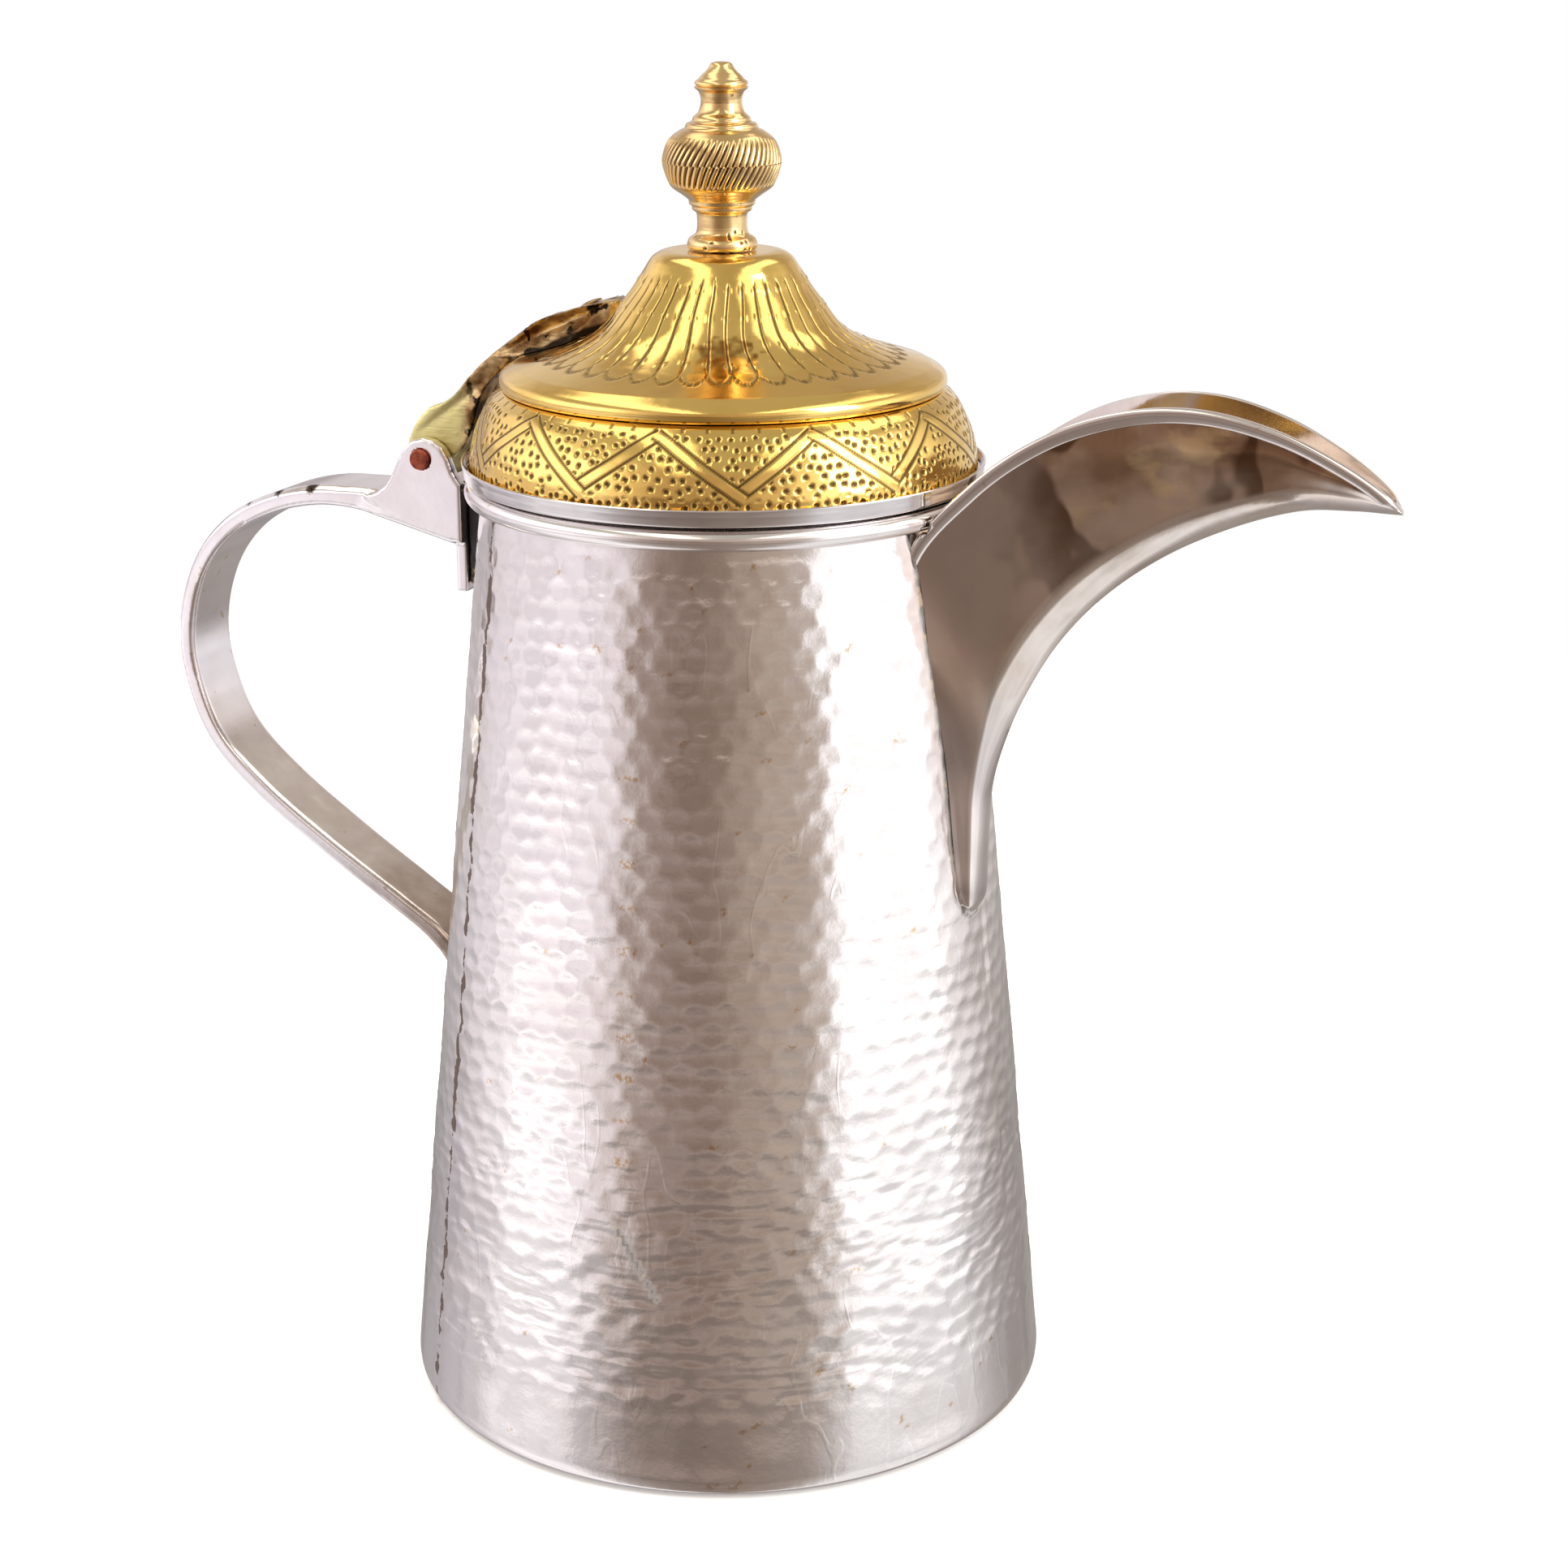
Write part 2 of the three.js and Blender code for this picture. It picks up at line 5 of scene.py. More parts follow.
import bpy
import numpy as np
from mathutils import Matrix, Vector

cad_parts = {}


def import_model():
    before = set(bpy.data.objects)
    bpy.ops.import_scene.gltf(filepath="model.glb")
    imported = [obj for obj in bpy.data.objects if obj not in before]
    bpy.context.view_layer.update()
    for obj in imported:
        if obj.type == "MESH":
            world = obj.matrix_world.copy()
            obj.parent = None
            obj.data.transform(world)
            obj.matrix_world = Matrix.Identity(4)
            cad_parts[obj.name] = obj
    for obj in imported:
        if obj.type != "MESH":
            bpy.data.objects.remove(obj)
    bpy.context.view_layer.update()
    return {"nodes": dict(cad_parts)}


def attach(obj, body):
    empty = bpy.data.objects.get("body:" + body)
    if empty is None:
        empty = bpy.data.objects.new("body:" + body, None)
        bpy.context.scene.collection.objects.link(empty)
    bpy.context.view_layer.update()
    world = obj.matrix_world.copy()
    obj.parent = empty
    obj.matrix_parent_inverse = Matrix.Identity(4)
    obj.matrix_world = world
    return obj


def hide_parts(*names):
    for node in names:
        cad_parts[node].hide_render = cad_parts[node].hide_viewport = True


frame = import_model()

MM = 0.001

# ---- Sizes shared with the solids ----
BASE_RADIUS = 74.5
TAPER = 0.1005
WALL = 1.2
MOUTH = 211.0
BEAD_LOW = 206.6
BEAD_HIGH = 211.4
BEAD_RADIUS = 57.0
DOME_LOW = 213.8
PIN_X = -70.5
PIN_Z = 211.3
PIN_RADIUS = 2.35
TAIL_LEAN = -6.5  # how far the spout's tail stands off the middle plane
LID_CLEARANCE_RADIUS = 57.6 + 0.7
TURN = 2 * math.pi


def pot_radius(z):
    return BASE_RADIUS - TAPER * z


# ---- Numbers that look random but never change ----
def scatter(i, j, seed):
    """A value in 0..1 for each pair of whole numbers."""
    value = np.sin(i * 127.1 + j * 311.7 + seed * 74.7) * 43758.5453
    return value - np.floor(value)


def soft_noise(x, y, seed):
    """Smooth noise in -1..1 on a grid of unit cells."""
    i, j = np.floor(x), np.floor(y)
    u, v = x - i, y - j
    u, v = u * u * (3 - 2 * u), v * v * (3 - 2 * v)
    low = scatter(i, j, seed) * (1 - u) + scatter(i + 1, j, seed) * u
    high = scatter(i, j + 1, seed) * (1 - u) + scatter(i + 1, j + 1, seed) * u
    return 2 * (low * (1 - v) + high * v) - 1


def smoothstep(low, high, value):
    t = np.clip((value - low) / (high - low), 0, 1)
    return t * t * (3 - 2 * t)


def falling(low, high, value):
    """The other way round: 1 up to low, and 0 from high on."""
    return 1 - smoothstep(low, high, value)


def along_from(angle, middle, radius):
    """Distance round the surface from the direction middle, up to half a turn either way."""
    return (np.mod(angle - middle + math.pi, TURN) - math.pi) * radius


def dents(column, row, columns, seed, jitter=0.3):
    """Squared distance to the nearest of the jittered points, one in each cell, and its cell's value."""
    best = np.full(column.shape, 9.0)
    value = np.zeros(column.shape)
    for dj in (-1, 0, 1):
        j = np.floor(row) + dj
        shift = 0.5 * np.mod(j, 2)
        for di in (-1, 0, 1):
            i = np.floor(column - shift) + di
            wrapped = np.mod(i, columns)
            x = i + shift + 0.5 + jitter * (scatter(wrapped, j, seed) - 0.5)
            y = j + 0.5 + jitter * (scatter(wrapped, j, seed + 1) - 0.5)
            distance = (column - x) ** 2 + (row - y) ** 2
            nearer = distance < best
            best = np.where(nearer, distance, best)
            value = np.where(nearer, scatter(wrapped, j, seed + 2), value)
    return best, value


# ---- Curves ----
def with_ends(points):
    """The points as an array, with one more beyond each end."""
    p = np.array(points, float)
    return np.vstack([2 * p[0] - p[1], p, 2 * p[-1] - p[-2]])


def catmull_rom(a, b, c, d, t):
    """The point at share t of the way from b to c."""
    return 0.5 * (
        2 * b + (c - a) * t + (2 * a - 5 * b + 4 * c - d) * t**2 + (3 * b - a - 3 * c + d) * t**3
    )


def smooth(points, step):
    """Points about step apart on a Catmull-Rom curve through the given points."""
    p = with_ends(points)
    out = []
    for a, b, c, d in zip(p, p[1:], p[2:], p[3:]):
        count = max(int(np.ceil(np.linalg.norm(c - b) / step)), 1)
        out.append(catmull_rom(a, b, c, d, np.arange(count)[:, None] / count))
    out.append(p[-2][None])
    return np.vstack(out)


def line(start, end, step):
    count = max(int(np.ceil(np.hypot(end[0] - start[0], end[1] - start[1]) / step)), 1)
    t = np.linspace(0, 1, count + 1)[:, None]
    return (1 - t) * np.array(start, float) + t * np.array(end, float)


def normals_2d(path):
    """The right-hand side of each point's direction."""
    along = np.gradient(path, axis=0)
    along /= np.linalg.norm(along, axis=1)[:, None]
    return np.stack([along[:, 1], -along[:, 0]], axis=1)


# ---- Meshes ----
def in_scene(name, data):
    thing = bpy.data.objects.new(name, data)
    bpy.context.scene.collection.objects.link(thing)
    return thing


def mesh_object(name, points, faces, marks=None, smooth_angle=35):
    """An object from points in millimetres. faces is a list of arrays, each with one corner count."""
    mesh = bpy.data.meshes.new(name)
    mesh.vertices.add(len(points))
    mesh.vertices.foreach_set("co", (np.asarray(points, float) * MM).ravel())
    corners = np.concatenate([f.ravel() for f in faces])
    starts = np.concatenate([np.full(len(f), f.shape[1]) for f in faces])
    starts = np.concatenate([[0], np.cumsum(starts)[:-1]])
    mesh.loops.add(len(corners))
    mesh.loops.foreach_set("vertex_index", corners.astype(np.int32))
    mesh.polygons.add(len(starts))
    mesh.polygons.foreach_set("loop_start", starts.astype(np.int32))
    mesh.update(calc_edges=True)
    for label, values in (marks or {}).items():
        mesh.attributes.new(label, "FLOAT", "POINT").data.foreach_set("value", values.ravel())
    thing = in_scene(name, mesh)
    mesh.shade_smooth()
    if smooth_angle:
        mesh.set_sharp_from_angle(angle=math.radians(smooth_angle))
    return thing


def grid_faces(rows, columns, wrap_rows=False, wrap_columns=False):
    i = np.arange(rows if wrap_rows else rows - 1)[:, None]
    j = np.arange(columns if wrap_columns else columns - 1)[None]
    a = i * columns + j
    b = i * columns + (j + 1) % columns
    c = ((i + 1) % rows) * columns + (j + 1) % columns
    d = ((i + 1) % rows) * columns + j
    return np.stack([a, b, c, d], axis=-1)


def volume(points, faces):
    total = 0.0
    for f in faces:
        for k in range(1, f.shape[1] - 1):
            a, b, c = points[f[:, 0]], points[f[:, k]], points[f[:, k + 1]]
            total += np.einsum("ij,ij->", a, np.cross(b, c))
    return total


def outward(points, faces):
    return [f[:, ::-1] for f in faces] if volume(points, faces) < 0 else faces


def revolve(path, columns, shape=None):
    """A grid of points round Z with one row for each (radius, height) of the path.

    shape(angle, radius, height) may return a new radius and height and a dict of marks."""
    path = np.asarray(path, float)
    angle = np.arange(columns)[None] * TURN / columns
    radius = np.repeat(path[:, :1], columns, axis=1)
    height = np.repeat(path[:, 1:], columns, axis=1)
    marks = None
    if shape:
        radius, height, marks = shape(angle + 0 * radius, radius, height)
    return np.stack([radius * np.cos(angle), radius * np.sin(angle), height], axis=-1), marks


def turned(name, path, columns, shape=None, **options):
    """A solid of revolution whose outline is closed, or starts and ends on the axis."""
    points, marks = revolve(path, columns, shape)
    if path[0][0] != 0 or path[-1][0] != 0:
        faces = [grid_faces(len(path), columns, True, True).reshape(-1, 4)]
        points = points.reshape(-1, 3)
        return mesh_object(name, points, outward(points, faces), marks, **options)
    points = np.vstack([points[1:-1].reshape(-1, 3), points[0, 0], points[-1, 0]])
    rows = len(path) - 2
    j = np.arange(columns)
    after = (j + 1) % columns
    last = (rows - 1) * columns
    first_fan = np.stack([after, j, np.full(columns, rows * columns)], axis=1)
    last_fan = np.stack([last + j, last + after, np.full(columns, rows * columns + 1)], axis=1)
    faces = [grid_faces(rows, columns, False, True).reshape(-1, 4), first_fan, last_fan]
    if marks:
        marks = {k: np.concatenate([v[1:-1].ravel(), v[0, :1], v[-1, :1]]) for k, v in marks.items()}
    return mesh_object(name, points, outward(points, faces), marks, **options)


def loft(name, sections, **options):
    """A solid through a row of closed sections, each an array of the same number of points."""
    sections = np.asarray(sections, float)
    rows, columns = sections.shape[:2]
    points = sections.reshape(-1, 3)
    caps = np.stack([np.arange(columns)[::-1], (rows - 1) * columns + np.arange(columns)])
    faces = [grid_faces(rows, columns, False, True).reshape(-1, 4), caps]
    return mesh_object(name, points, outward(points, faces), **options)


def plate(name, outline, width, y=0.0):
    """A side outline of (x, z) points, extruded across Y. width is a number or a function of x and z."""
    outline = np.asarray(outline, float)
    half = np.array([(width(x, z) if callable(width) else width) / 2 for x, z in outline])
    sides = [np.stack([outline[:, 0], y + s * half, outline[:, 1]], axis=1) for s in (-1, 1)]
    return loft(name, sides)


def evaluated(thing):
    """Replaces an object's mesh with its mesh after modifiers."""
    graph = bpy.context.evaluated_depsgraph_get()
    mesh = bpy.data.meshes.new_from_object(thing.evaluated_get(graph), depsgraph=graph)
    thing.modifiers.clear()
    old = thing.data
    thing.data = mesh
    bpy.data.meshes.remove(old)


def drop(thing):
    mesh = thing.data
    bpy.data.objects.remove(thing)
    bpy.data.meshes.remove(mesh)


def cut(thing, tool, operation="DIFFERENCE"):
    modifier = thing.modifiers.new("cut", "BOOLEAN")
    modifier.operation = operation
    modifier.object = tool
    modifier.solver = "EXACT"
    evaluated(thing)
    drop(tool)


def cast(name, parts, voxel, rounds):
    """Joins overlapping solids into one soft-edged casting."""
    for part in parts[1:]:
        cut(parts[0], part, "UNION")
    thing = parts[0]
    thing.name = name
    thing.data.name = name
    remesh = thing.modifiers.new("remesh", "REMESH")
    remesh.mode = "VOXEL"
    remesh.voxel_size = voxel * MM
    relax = thing.modifiers.new("relax", "SMOOTH")
    relax.iterations = rounds
    relax.factor = 0.5
    evaluated(thing)
    thing.data.shade_smooth()
    return thing


def soft_edges(thing, degrees):
    """Smooth shading, except across edges sharper than the angle."""
    thing.data.shade_smooth()
    thing.data.set_sharp_from_angle(angle=math.radians(degrees))
    return thing


def move_points(thing, change):
    """Applies change(points in millimetres) to a mesh of this script's own."""
    count = len(thing.data.vertices)
    flat = np.empty(count * 3)
    thing.data.vertices.foreach_get("co", flat)
    points = change(flat.reshape(-1, 3) / MM)
    thing.data.vertices.foreach_set("co", (points * MM).ravel())
    thing.data.update()


def bar(name, radius, low, high, x, z, sides=48):
    """A round bar along Y."""
    angle = np.arange(sides) * TURN / sides
    ends = [
        np.stack([x + radius * np.cos(angle), np.full(sides, y), z + radius * np.sin(angle)], axis=1)
        for y in (low, high)
    ]
    return loft(name, ends)


def pot_space(name, gap):
    """The cone of the pot, its rim and the lid, which other pieces stay out of."""
    under, over, above = -5, 211.5, 275
    rim = BEAD_LOW - 0.3
    path = [
        (0, under),
        (pot_radius(under) + gap, under),
        (pot_radius(BEAD_LOW) + gap, rim),
        (BEAD_RADIUS + gap, rim),
        (LID_CLEARANCE_RADIUS, over),
        (LID_CLEARANCE_RADIUS, above),
        (0, above),
    ]
    return turned(name, path, 192)


# ---- Pot ----
BODY_COLUMNS = 384  # this and the three below keep each mesh under 200,000 triangles
BAND_COLUMNS = 1280
FLARE_COLUMNS = 840
FINIAL_COLUMNS = 520
DENT_COLUMNS = 62  # hammer marks in one row round the pot
DENT_PITCH = 4.7  # height of a row of hammer marks
WINDOW_LOW = 150.0
WINDOW_HIGH = 198.0
WINDOW_SIDES = (math.radians(-10.5), math.radians(-0.5))  # hidden by the spout at every height
SCRATCH = ((-86.5, 60), (-78.6, 45))  # degrees round the pot and height, from end to end
SPECK_COLUMN = math.radians(-86)  # an upright row of worn spots
PAD_MIDDLE = 197
# The spout's joint with the pot: heights, and its middle and half width at each of them.
JOINT_HEIGHTS = [119, 121, 136, 155, 178, 200]
JOINT_MIDDLE = [-6.5, -6.5, -6.4, -5.4, -4.1, -2.6]
JOINT_HALF = [1, 4, 6.1, 7.2, 11.1, 14.2]


def painted_pad_shade(angle, radius, height):
    """Painted shade on the plate round the solder of the handle's pad, standing in for the dark gap between
    the flange and the pot.
    """
    back = np.abs(along_from(angle, math.pi, radius))
    drift = np.maximum(back / 13, np.abs(height - PAD_MIDDLE) / 14.5)
    return falling(0.85, 1.1, drift + 0.10 * soft_noise(height / 4, angle / TURN * 50, 13))


def spout_solder(angle, radius, height):
    """A ragged dark line along the spout's joint with the pot."""
    joint = np.abs(radius * np.sin(angle) - np.interp(height, JOINT_HEIGHTS, JOINT_MIDDLE))
    joint = np.abs(joint - np.interp(height, JOINT_HEIGHTS, JOINT_HALF))
    ragged = joint + 0.3 * soft_noise(height / 3, angle / TURN * 90, 14)
    return falling(0.5, 1.5, ragged) * (np.cos(angle) > 0) * (height > JOINT_HEIGHTS[0])


def scratch_mark(angle, radius, height):
    """One long scratch low on the pot."""
    start, end = np.array(SCRATCH)
    run = end - start
    around = along_from(angle, math.radians(start[0]), radius)
    wide = math.radians(run[0]) * pot_radius(start[1])
    place = np.clip((around * wide + (height - start[1]) * run[1]) / (wide**2 + run[1] ** 2), 0, 1)
    away = np.hypot(around - place * wide, height - start[1] - place * run[1])
    return falling(0.3, 1.0, away + 0.3 * soft_noise(height / 1.5, angle / TURN * 90, 15))


def hammer_marks(angle, radius, height):
    """Rows of overlapping hammer marks on the pot's outside, worn specks, and dark marks: the spout's solder
    line, a scratch and painted shade round the handle's pad.
    """
    outside = radius > pot_radius(height) - WALL / 2
    turn = angle / TURN
    wander = 0.35 * soft_noise(turn * 17, height / 23, 5) + 0.12 * soft_noise(turn * 60, height / 9, 6)
    low_zone = falling(62, 100, height)
    rows = height / DENT_PITCH + wander * (0.5 + 1.1 * low_zone) + 0.6 * np.sin(angle * 2 + 1)
    near, value = dents(turn * DENT_COLUMNS + 0.3 * wander, rows, DENT_COLUMNS, 11)
    small, small_value = dents(turn * 118, height / 2.6 + wander, 118, 31, 0.9)
    relief = (0.15 + 0.11 * value) * np.minimum(near * 2.2, 1.0)
    relief += 0.035 * low_zone * np.minimum(small * 2, 1)
    crease = smoothstep(0.34, 0.46, np.abs(np.mod(rows, 1) - 0.5))
    torn = soft_noise(turn * 34, height / 6, 12) + 0.5 * (small_value - 0.5)
    relief -= 0.22 * low_zone * crease * smoothstep(-0.05, 0.25, torn)
    relief *= smoothstep(13, 24, height) * falling(200, 206, height)
    relief += 0.20 * soft_noise(turn * 26, height / 19, 9) + 0.07 * soft_noise(turn * 60, height / 8, 10)
    relief *= smoothstep(2.5, 9, height) * falling(203, 206, height)
    radius = np.where(outside, radius + relief - 0.12, radius)
    specks = (near > 0.32) * (scatter(np.floor(turn * 190), np.floor(height / 1.5), 7) > 0.965)
    spots = (np.abs(along_from(angle, SPECK_COLUMN, radius)) < 2.2) * (np.mod(height, 9.3) < 1.3)
    specks = specks + 1.0 * spots * (height > 70) * (height < 160)
    dark_marks_and_shade = np.maximum(0.85 * spout_solder(angle, radius, height), 0.8 * scratch_mark(angle, radius, height))
    # Painted shade round the handle's pad joins the dark marks.
    dark_marks_and_shade = np.maximum(painted_pad_shade(angle, radius, height), dark_marks_and_shade)
    return radius, height, {"dark_marks_and_shade": dark_marks_and_shade * outside, "speck": np.clip(specks, 0, 1) * outside}


def pot_body():
    """The hammered sheet, with its window into the spout left open."""
    foot = [(62, 0), (66.5, 0), (70.6, 0), (72.4, 0.2), (73.5, 0.8), (74, 1.7), (74.15, 3.2)]
    walls = line((pot_radius(4), 4), (pot_radius(206), 206), 0.9).tolist()
    top = [(pot_radius(208.5), 208.5), (pot_radius(210.6), 210.6), (pot_radius(MOUTH) - 0.5, MOUTH)]
    inner_heights = [210.6, 205, WINDOW_HIGH, 185, 172, 159, WINDOW_LOW, 110, 60, 20, 5]
    inner = [(pot_radius(z) - WALL, z) for z in inner_heights]
    path = np.array(foot + walls + top + inner + [(70, 1.2), (62, 1.2)])
    points, marks = revolve(path, BODY_COLUMNS, hammer_marks)
    points = points.reshape(-1, 3)
    first, last = (int(round(side / TURN * BODY_COLUMNS)) for side in WINDOW_SIDES)
    outer_heights = path[: len(foot + walls), 1]
    outer_rows = np.flatnonzero((outer_heights >= WINDOW_LOW) & (outer_heights <= WINDOW_HIGH))
    inner_rows = np.arange(inner_heights.index(WINDOW_HIGH), inner_heights.index(WINDOW_LOW) + 1)
    inner_rows += len(foot + walls + top)
    quads = grid_faces(len(path), BODY_COLUMNS, True, True)
    keep = np.ones(quads.shape[:2], bool)
    for rows in (outer_rows, inner_rows):
        keep[np.ix_(rows[:-1], np.arange(first, last) % BODY_COLUMNS)] = False
    faces = [quads[keep]]

    def corner(row, column):
        return row * BODY_COLUMNS + column % BODY_COLUMNS

    # The sheet's cut edge: strips along the window's bottom and top, and one face on each side.
    c = np.arange(first, last)
    for row, other, way in ((outer_rows[0], inner_rows[-1], -1), (outer_rows[-1], inner_rows[0], 1)):
        edge = np.stack([corner(row, c), corner(row, c + 1), corner(other, c + 1), corner(other, c)], axis=1)
        faces.append(edge[:, ::way])
    for column, way in ((first, 1), (last, -1)):
        faces.append(corner(np.concatenate([outer_rows, inner_rows]), column)[None, ::way])
    return mesh_object("pot_body", points, outward(points, faces), marks, smooth_angle=50)


def rolled_rim():
    """The rolled rim: a flattened tube against the pot with a fine groove under it."""
    low, high = BEAD_LOW, BEAD_HIGH
    middle, half = (low + high) / 2, (high - low) / 2
    inner = pot_radius(low) + 0.25
    bulge = [
        (inner + (BEAD_RADIUS - inner) * math.cos(a) ** 0.8, middle + half * math.sin(a))
        for a in np.linspace(-math.pi / 2 + 0.02, math.pi / 2 - 0.02, 22)
    ]

    def uneven(angle, radius, height):
        wave = 0.09 * soft_noise(angle * 3.5, height / 9, 21)
        wave += 0.04 * soft_noise(angle * 11, height / 5, 22)
        outer = smoothstep(inner + 0.5, inner + 2, radius)
        return radius + wave * outer, height, None

    return turned("rolled_rim", bulge, 256, uneven, smooth_angle=60)


# ---- Spout ----
# Ribs from the tail to the tip: a point of the edge, the point of the keel below it, half the
# width at the edge, half the width of the keel and the height of the keel's rounding.
SPOUT_RIBS = [
    ((60.8, 121.9), (63.0, 120.9), 3.4, 3.2, 0.6),
    ((60.2, 125), (64.4, 124.2), 6.0, 5.6, 1.6),
    ((58.8, 136), (64.8, 135), 6.2, 5.8, 2.6),
    ((56.8, 155), (65.3, 148), 7.4, 6.4, 3.8),
    ((53.6, 178), (67.7, 158.3), 11.6, 7, 4.8),
    ((49.5, 200), (71.6, 169), 14.8, 7.2, 6),
    ((62.5, 217), (78.6, 181.6), 14.4, 7.2, 6.6),
    ((78, 228.3), (88.6, 193), 13.4, 7, 6.8),
    ((94, 234), (101.4, 202.6), 11.4, 6.6, 6.4),
    ((109, 235), (115.4, 209.7), 9.2, 6, 5.4),
    ((124, 231.6), (128.6, 214.1), 6.9, 5, 5),
    ((137, 225.6), (139.4, 215), 4.9, 3.8, 3.8),
    ((145.6, 220), (146.6, 215), 3, 2.4, 2),
    ((149.2, 216), (149.6, 215), 0.9, 0.8, 0.4),
]


def spout_ribs(count):
    """Ribs evenly spread along smooth curves through the list, as pairs of place and seven numbers."""
    p = with_ends([(*edge, *keel, *sizes) for edge, keel, *sizes in SPOUT_RIBS])
    spans = len(SPOUT_RIBS) - 1
    out = []
    for t in np.linspace(0, 1, count):
        place = min(t * spans, spans - 1e-6)
        k = int(place)
        out.append((t, catmull_rom(*p[k : k + 4], place - k)))
    return out


def rib_lean(keel_z):
    return TAIL_LEAN * float(smoothstep(10, 80, 210 - keel_z))


def rib_outline(rib, inset=0.0, rise=0.0, side_steps=13, keel_steps=7):
    """A rib's outline from its left edge round the keel to its right edge."""
    edge, keel, depth = rib[0:2], rib[2:4], rib[6]
    half = max(rib[4] - inset, 0.15)
    low = max(rib[5] - inset, 0.12)
    up = edge - keel
    length = np.linalg.norm(up)
    up = up / length
    lean = rib_lean(keel[1])
    side = []
    swell = 1.3 * float(smoothstep(168, 200, keel[1])) * min(half / 10, 1) + 0.2
    for s in np.linspace(0, 1, side_steps, endpoint=False):
        along = (length - depth) * (1 - s) + rise * (1 - s)
        uneven = 0.34 * float(soft_noise(keel[0] / 11 + s * 0.8, keel[1] / 14 + s * 2.6, 61))
        bulge = (swell + uneven * min(half / 8, 1)) * math.sin(math.pi * s) ** 1.3
        side.append((depth + along, half + (low - half) * s + bulge))
    folded = float(smoothstep(140, 172, keel[1]))
    for a in np.linspace(0, math.pi / 2, keel_steps + 1):
        s = a / (math.pi / 2)
        height = depth * ((1 - folded) * (1 - math.sin(a)) + folded * (1 - s))
        across = (1 - folded) * math.cos(a) + folded * max(1 - s, 0) ** 0.72
        side.append((inset + height, low * across if s < 1 else 0.0))
    other = [(h, -y) for h, y in reversed(side[:-1])]
    return np.array([(keel[0] + up[0] * h, lean + y, keel[1] + up[1] * h) for h, y in side + other])


def spout_shell():
    """The folded sheet. It is trimmed before it is hollowed, which keeps the mesh closed."""
    ribs = spout_ribs(97)
    outside = [rib_outline(rib) for t, rib in ribs]
    inside = [rib_outline(rib, WALL, 2.0) for t, rib in ribs if 0.13 <= t <= 0.975]
    shell = loft("spout", outside, smooth_angle=None)
    cut(shell, pot_space("spout_trim", 0.05))
    cut(shell, loft("spout_inside", inside, smooth_angle=None))
    shell.name = "spout"
    return soft_edges(shell, 32)


def spout_edge(name, side):
    """A half-round strip along one edge of the spout, rounded off at its root."""
    sections = []
    for t, rib in spout_ribs(140):
        if not 0.372 <= t <= 0.988:
            continue
        edge, keel = rib[0:2], rib[2:4]
        down = keel - edge
        length = np.linalg.norm(down)
        down = down / length
        fade = float(smoothstep(0.368, 0.39, t)) * (1 - 0.55 * float(smoothstep(0.9, 0.99, t)))
        tall = min(3.1, length * 0.55) * max(fade, 0.25)
        slope = (rib[5] - rib[4]) / max(length - rib[6], 0.5)
        lean = rib_lean(keel[1])
        ring = []
        for a in np.linspace(0, TURN, 18, endpoint=False):
            out_by = 0.62 + 0.62 * math.cos(a)
            drop_by = tall * (0.5 - 0.52 * math.sin(a))
            y = side * (rib[4] + slope * drop_by + 0.02 + out_by * max(fade, 0.4)) + lean
            ring.append((edge[0] + down[0] * drop_by, y, edge[1] + down[1] * drop_by))
        sections.append(ring)
    strip = loft(name, sections, smooth_angle=60)
    cut(strip, pot_space(name + "_trim", 0.05))
    strip.data.shade_smooth()
    return strip


# ---- Handle ----
HANDLE_INNER = [
    (-63.4, 192.1), (-75, 194.9), (-88, 197.7), (-99, 198), (-111, 195.2), (-122.8, 189),
    (-131.2, 179.3), (-135.6, 166.5), (-135.2, 154), (-129.5, 139.5), (-117.5, 127.7),
    (-99.5, 115.2), (-81.5, 104), (-71, 97), (-66.3, 90), (-66, 77),
]
NOTCHES = [(-100.8, 202.9, 0.08), (-110.2, 201.5, 0.25), (-119, 198.4, 0.42)]  # x, z, lean
EAR_OUTLINE = [
    (-86, 201.5), (-82.5, 202.7), (-80.2, 204.4), (-78.3, 207.2), (-76.6, 210.6), (-75, 213.4),
    (-73, 215.3), (-70.2, 216.1), (-67.4, 215.7), (-65.2, 214.2), (-63.8, 211.8), (-62.7, 208.8),
    (-61.5, 206.9), (-60.7, 206), (-60.7, 192.4), (-72, 194.6),
]
HINGE_END = [-88, -82]  # along X, where the strap widens to the ears
WIDTH_HEIGHTS = [76, 84, 96, 120, 170, 188, 200]
HANDLE_WIDTHS = [8, 13, 16.5, 17.2, 16.6, 17.2, 18.6]
STRAP_PLACES = [0, 0.07, 0.14, 0.4, 0.7, 0.86, 0.93, 1]  # shares of the strap, from the hinge down
STRAP_THICKNESS = [9, 6.5, 4.6, 4.4, 4.3, 4.5, 5, 2.6]
NOTCH_WEDGE = [(-1.9, 1.6), (1.9, 1.6), (0.1, -2.7)]
EAR_MIDDLE = 8.65
EAR_THICKNESS = 2.8
KNUCKLE_ROOM_RADIUS = 8.2


def handle_width(x, z):
    if z > 150 and x > HINGE_END[0]:
        return float(np.interp(x, HINGE_END, [18.4, 20]))
    return float(np.interp(z, WIDTH_HEIGHTS, HANDLE_WIDTHS))


def handle_strap():
    """The bent bar from the hinge to the foot, with its edges taken off."""
    inner = smooth(HANDLE_INNER, 1.5)
    thick = np.interp(np.linspace(0, 1, len(inner)), STRAP_PLACES, STRAP_THICKNESS)
    sections = []
    for (x, z), (nx, nz), t in zip(inner, normals_2d(inner), thick):
        half = handle_width(x, z) / 2
        near = [(-1, 0.5), (-0.86, 0), (0.86, 0), (1, 0.5)]
        far = [(1, t - 0.9), (0.8, t), (-0.8, t), (-1, t - 0.9)]
        sections.append([(x + nx * out, across * half, z + nz * out) for across, out in near + far])
    return loft("handle_strap", sections)


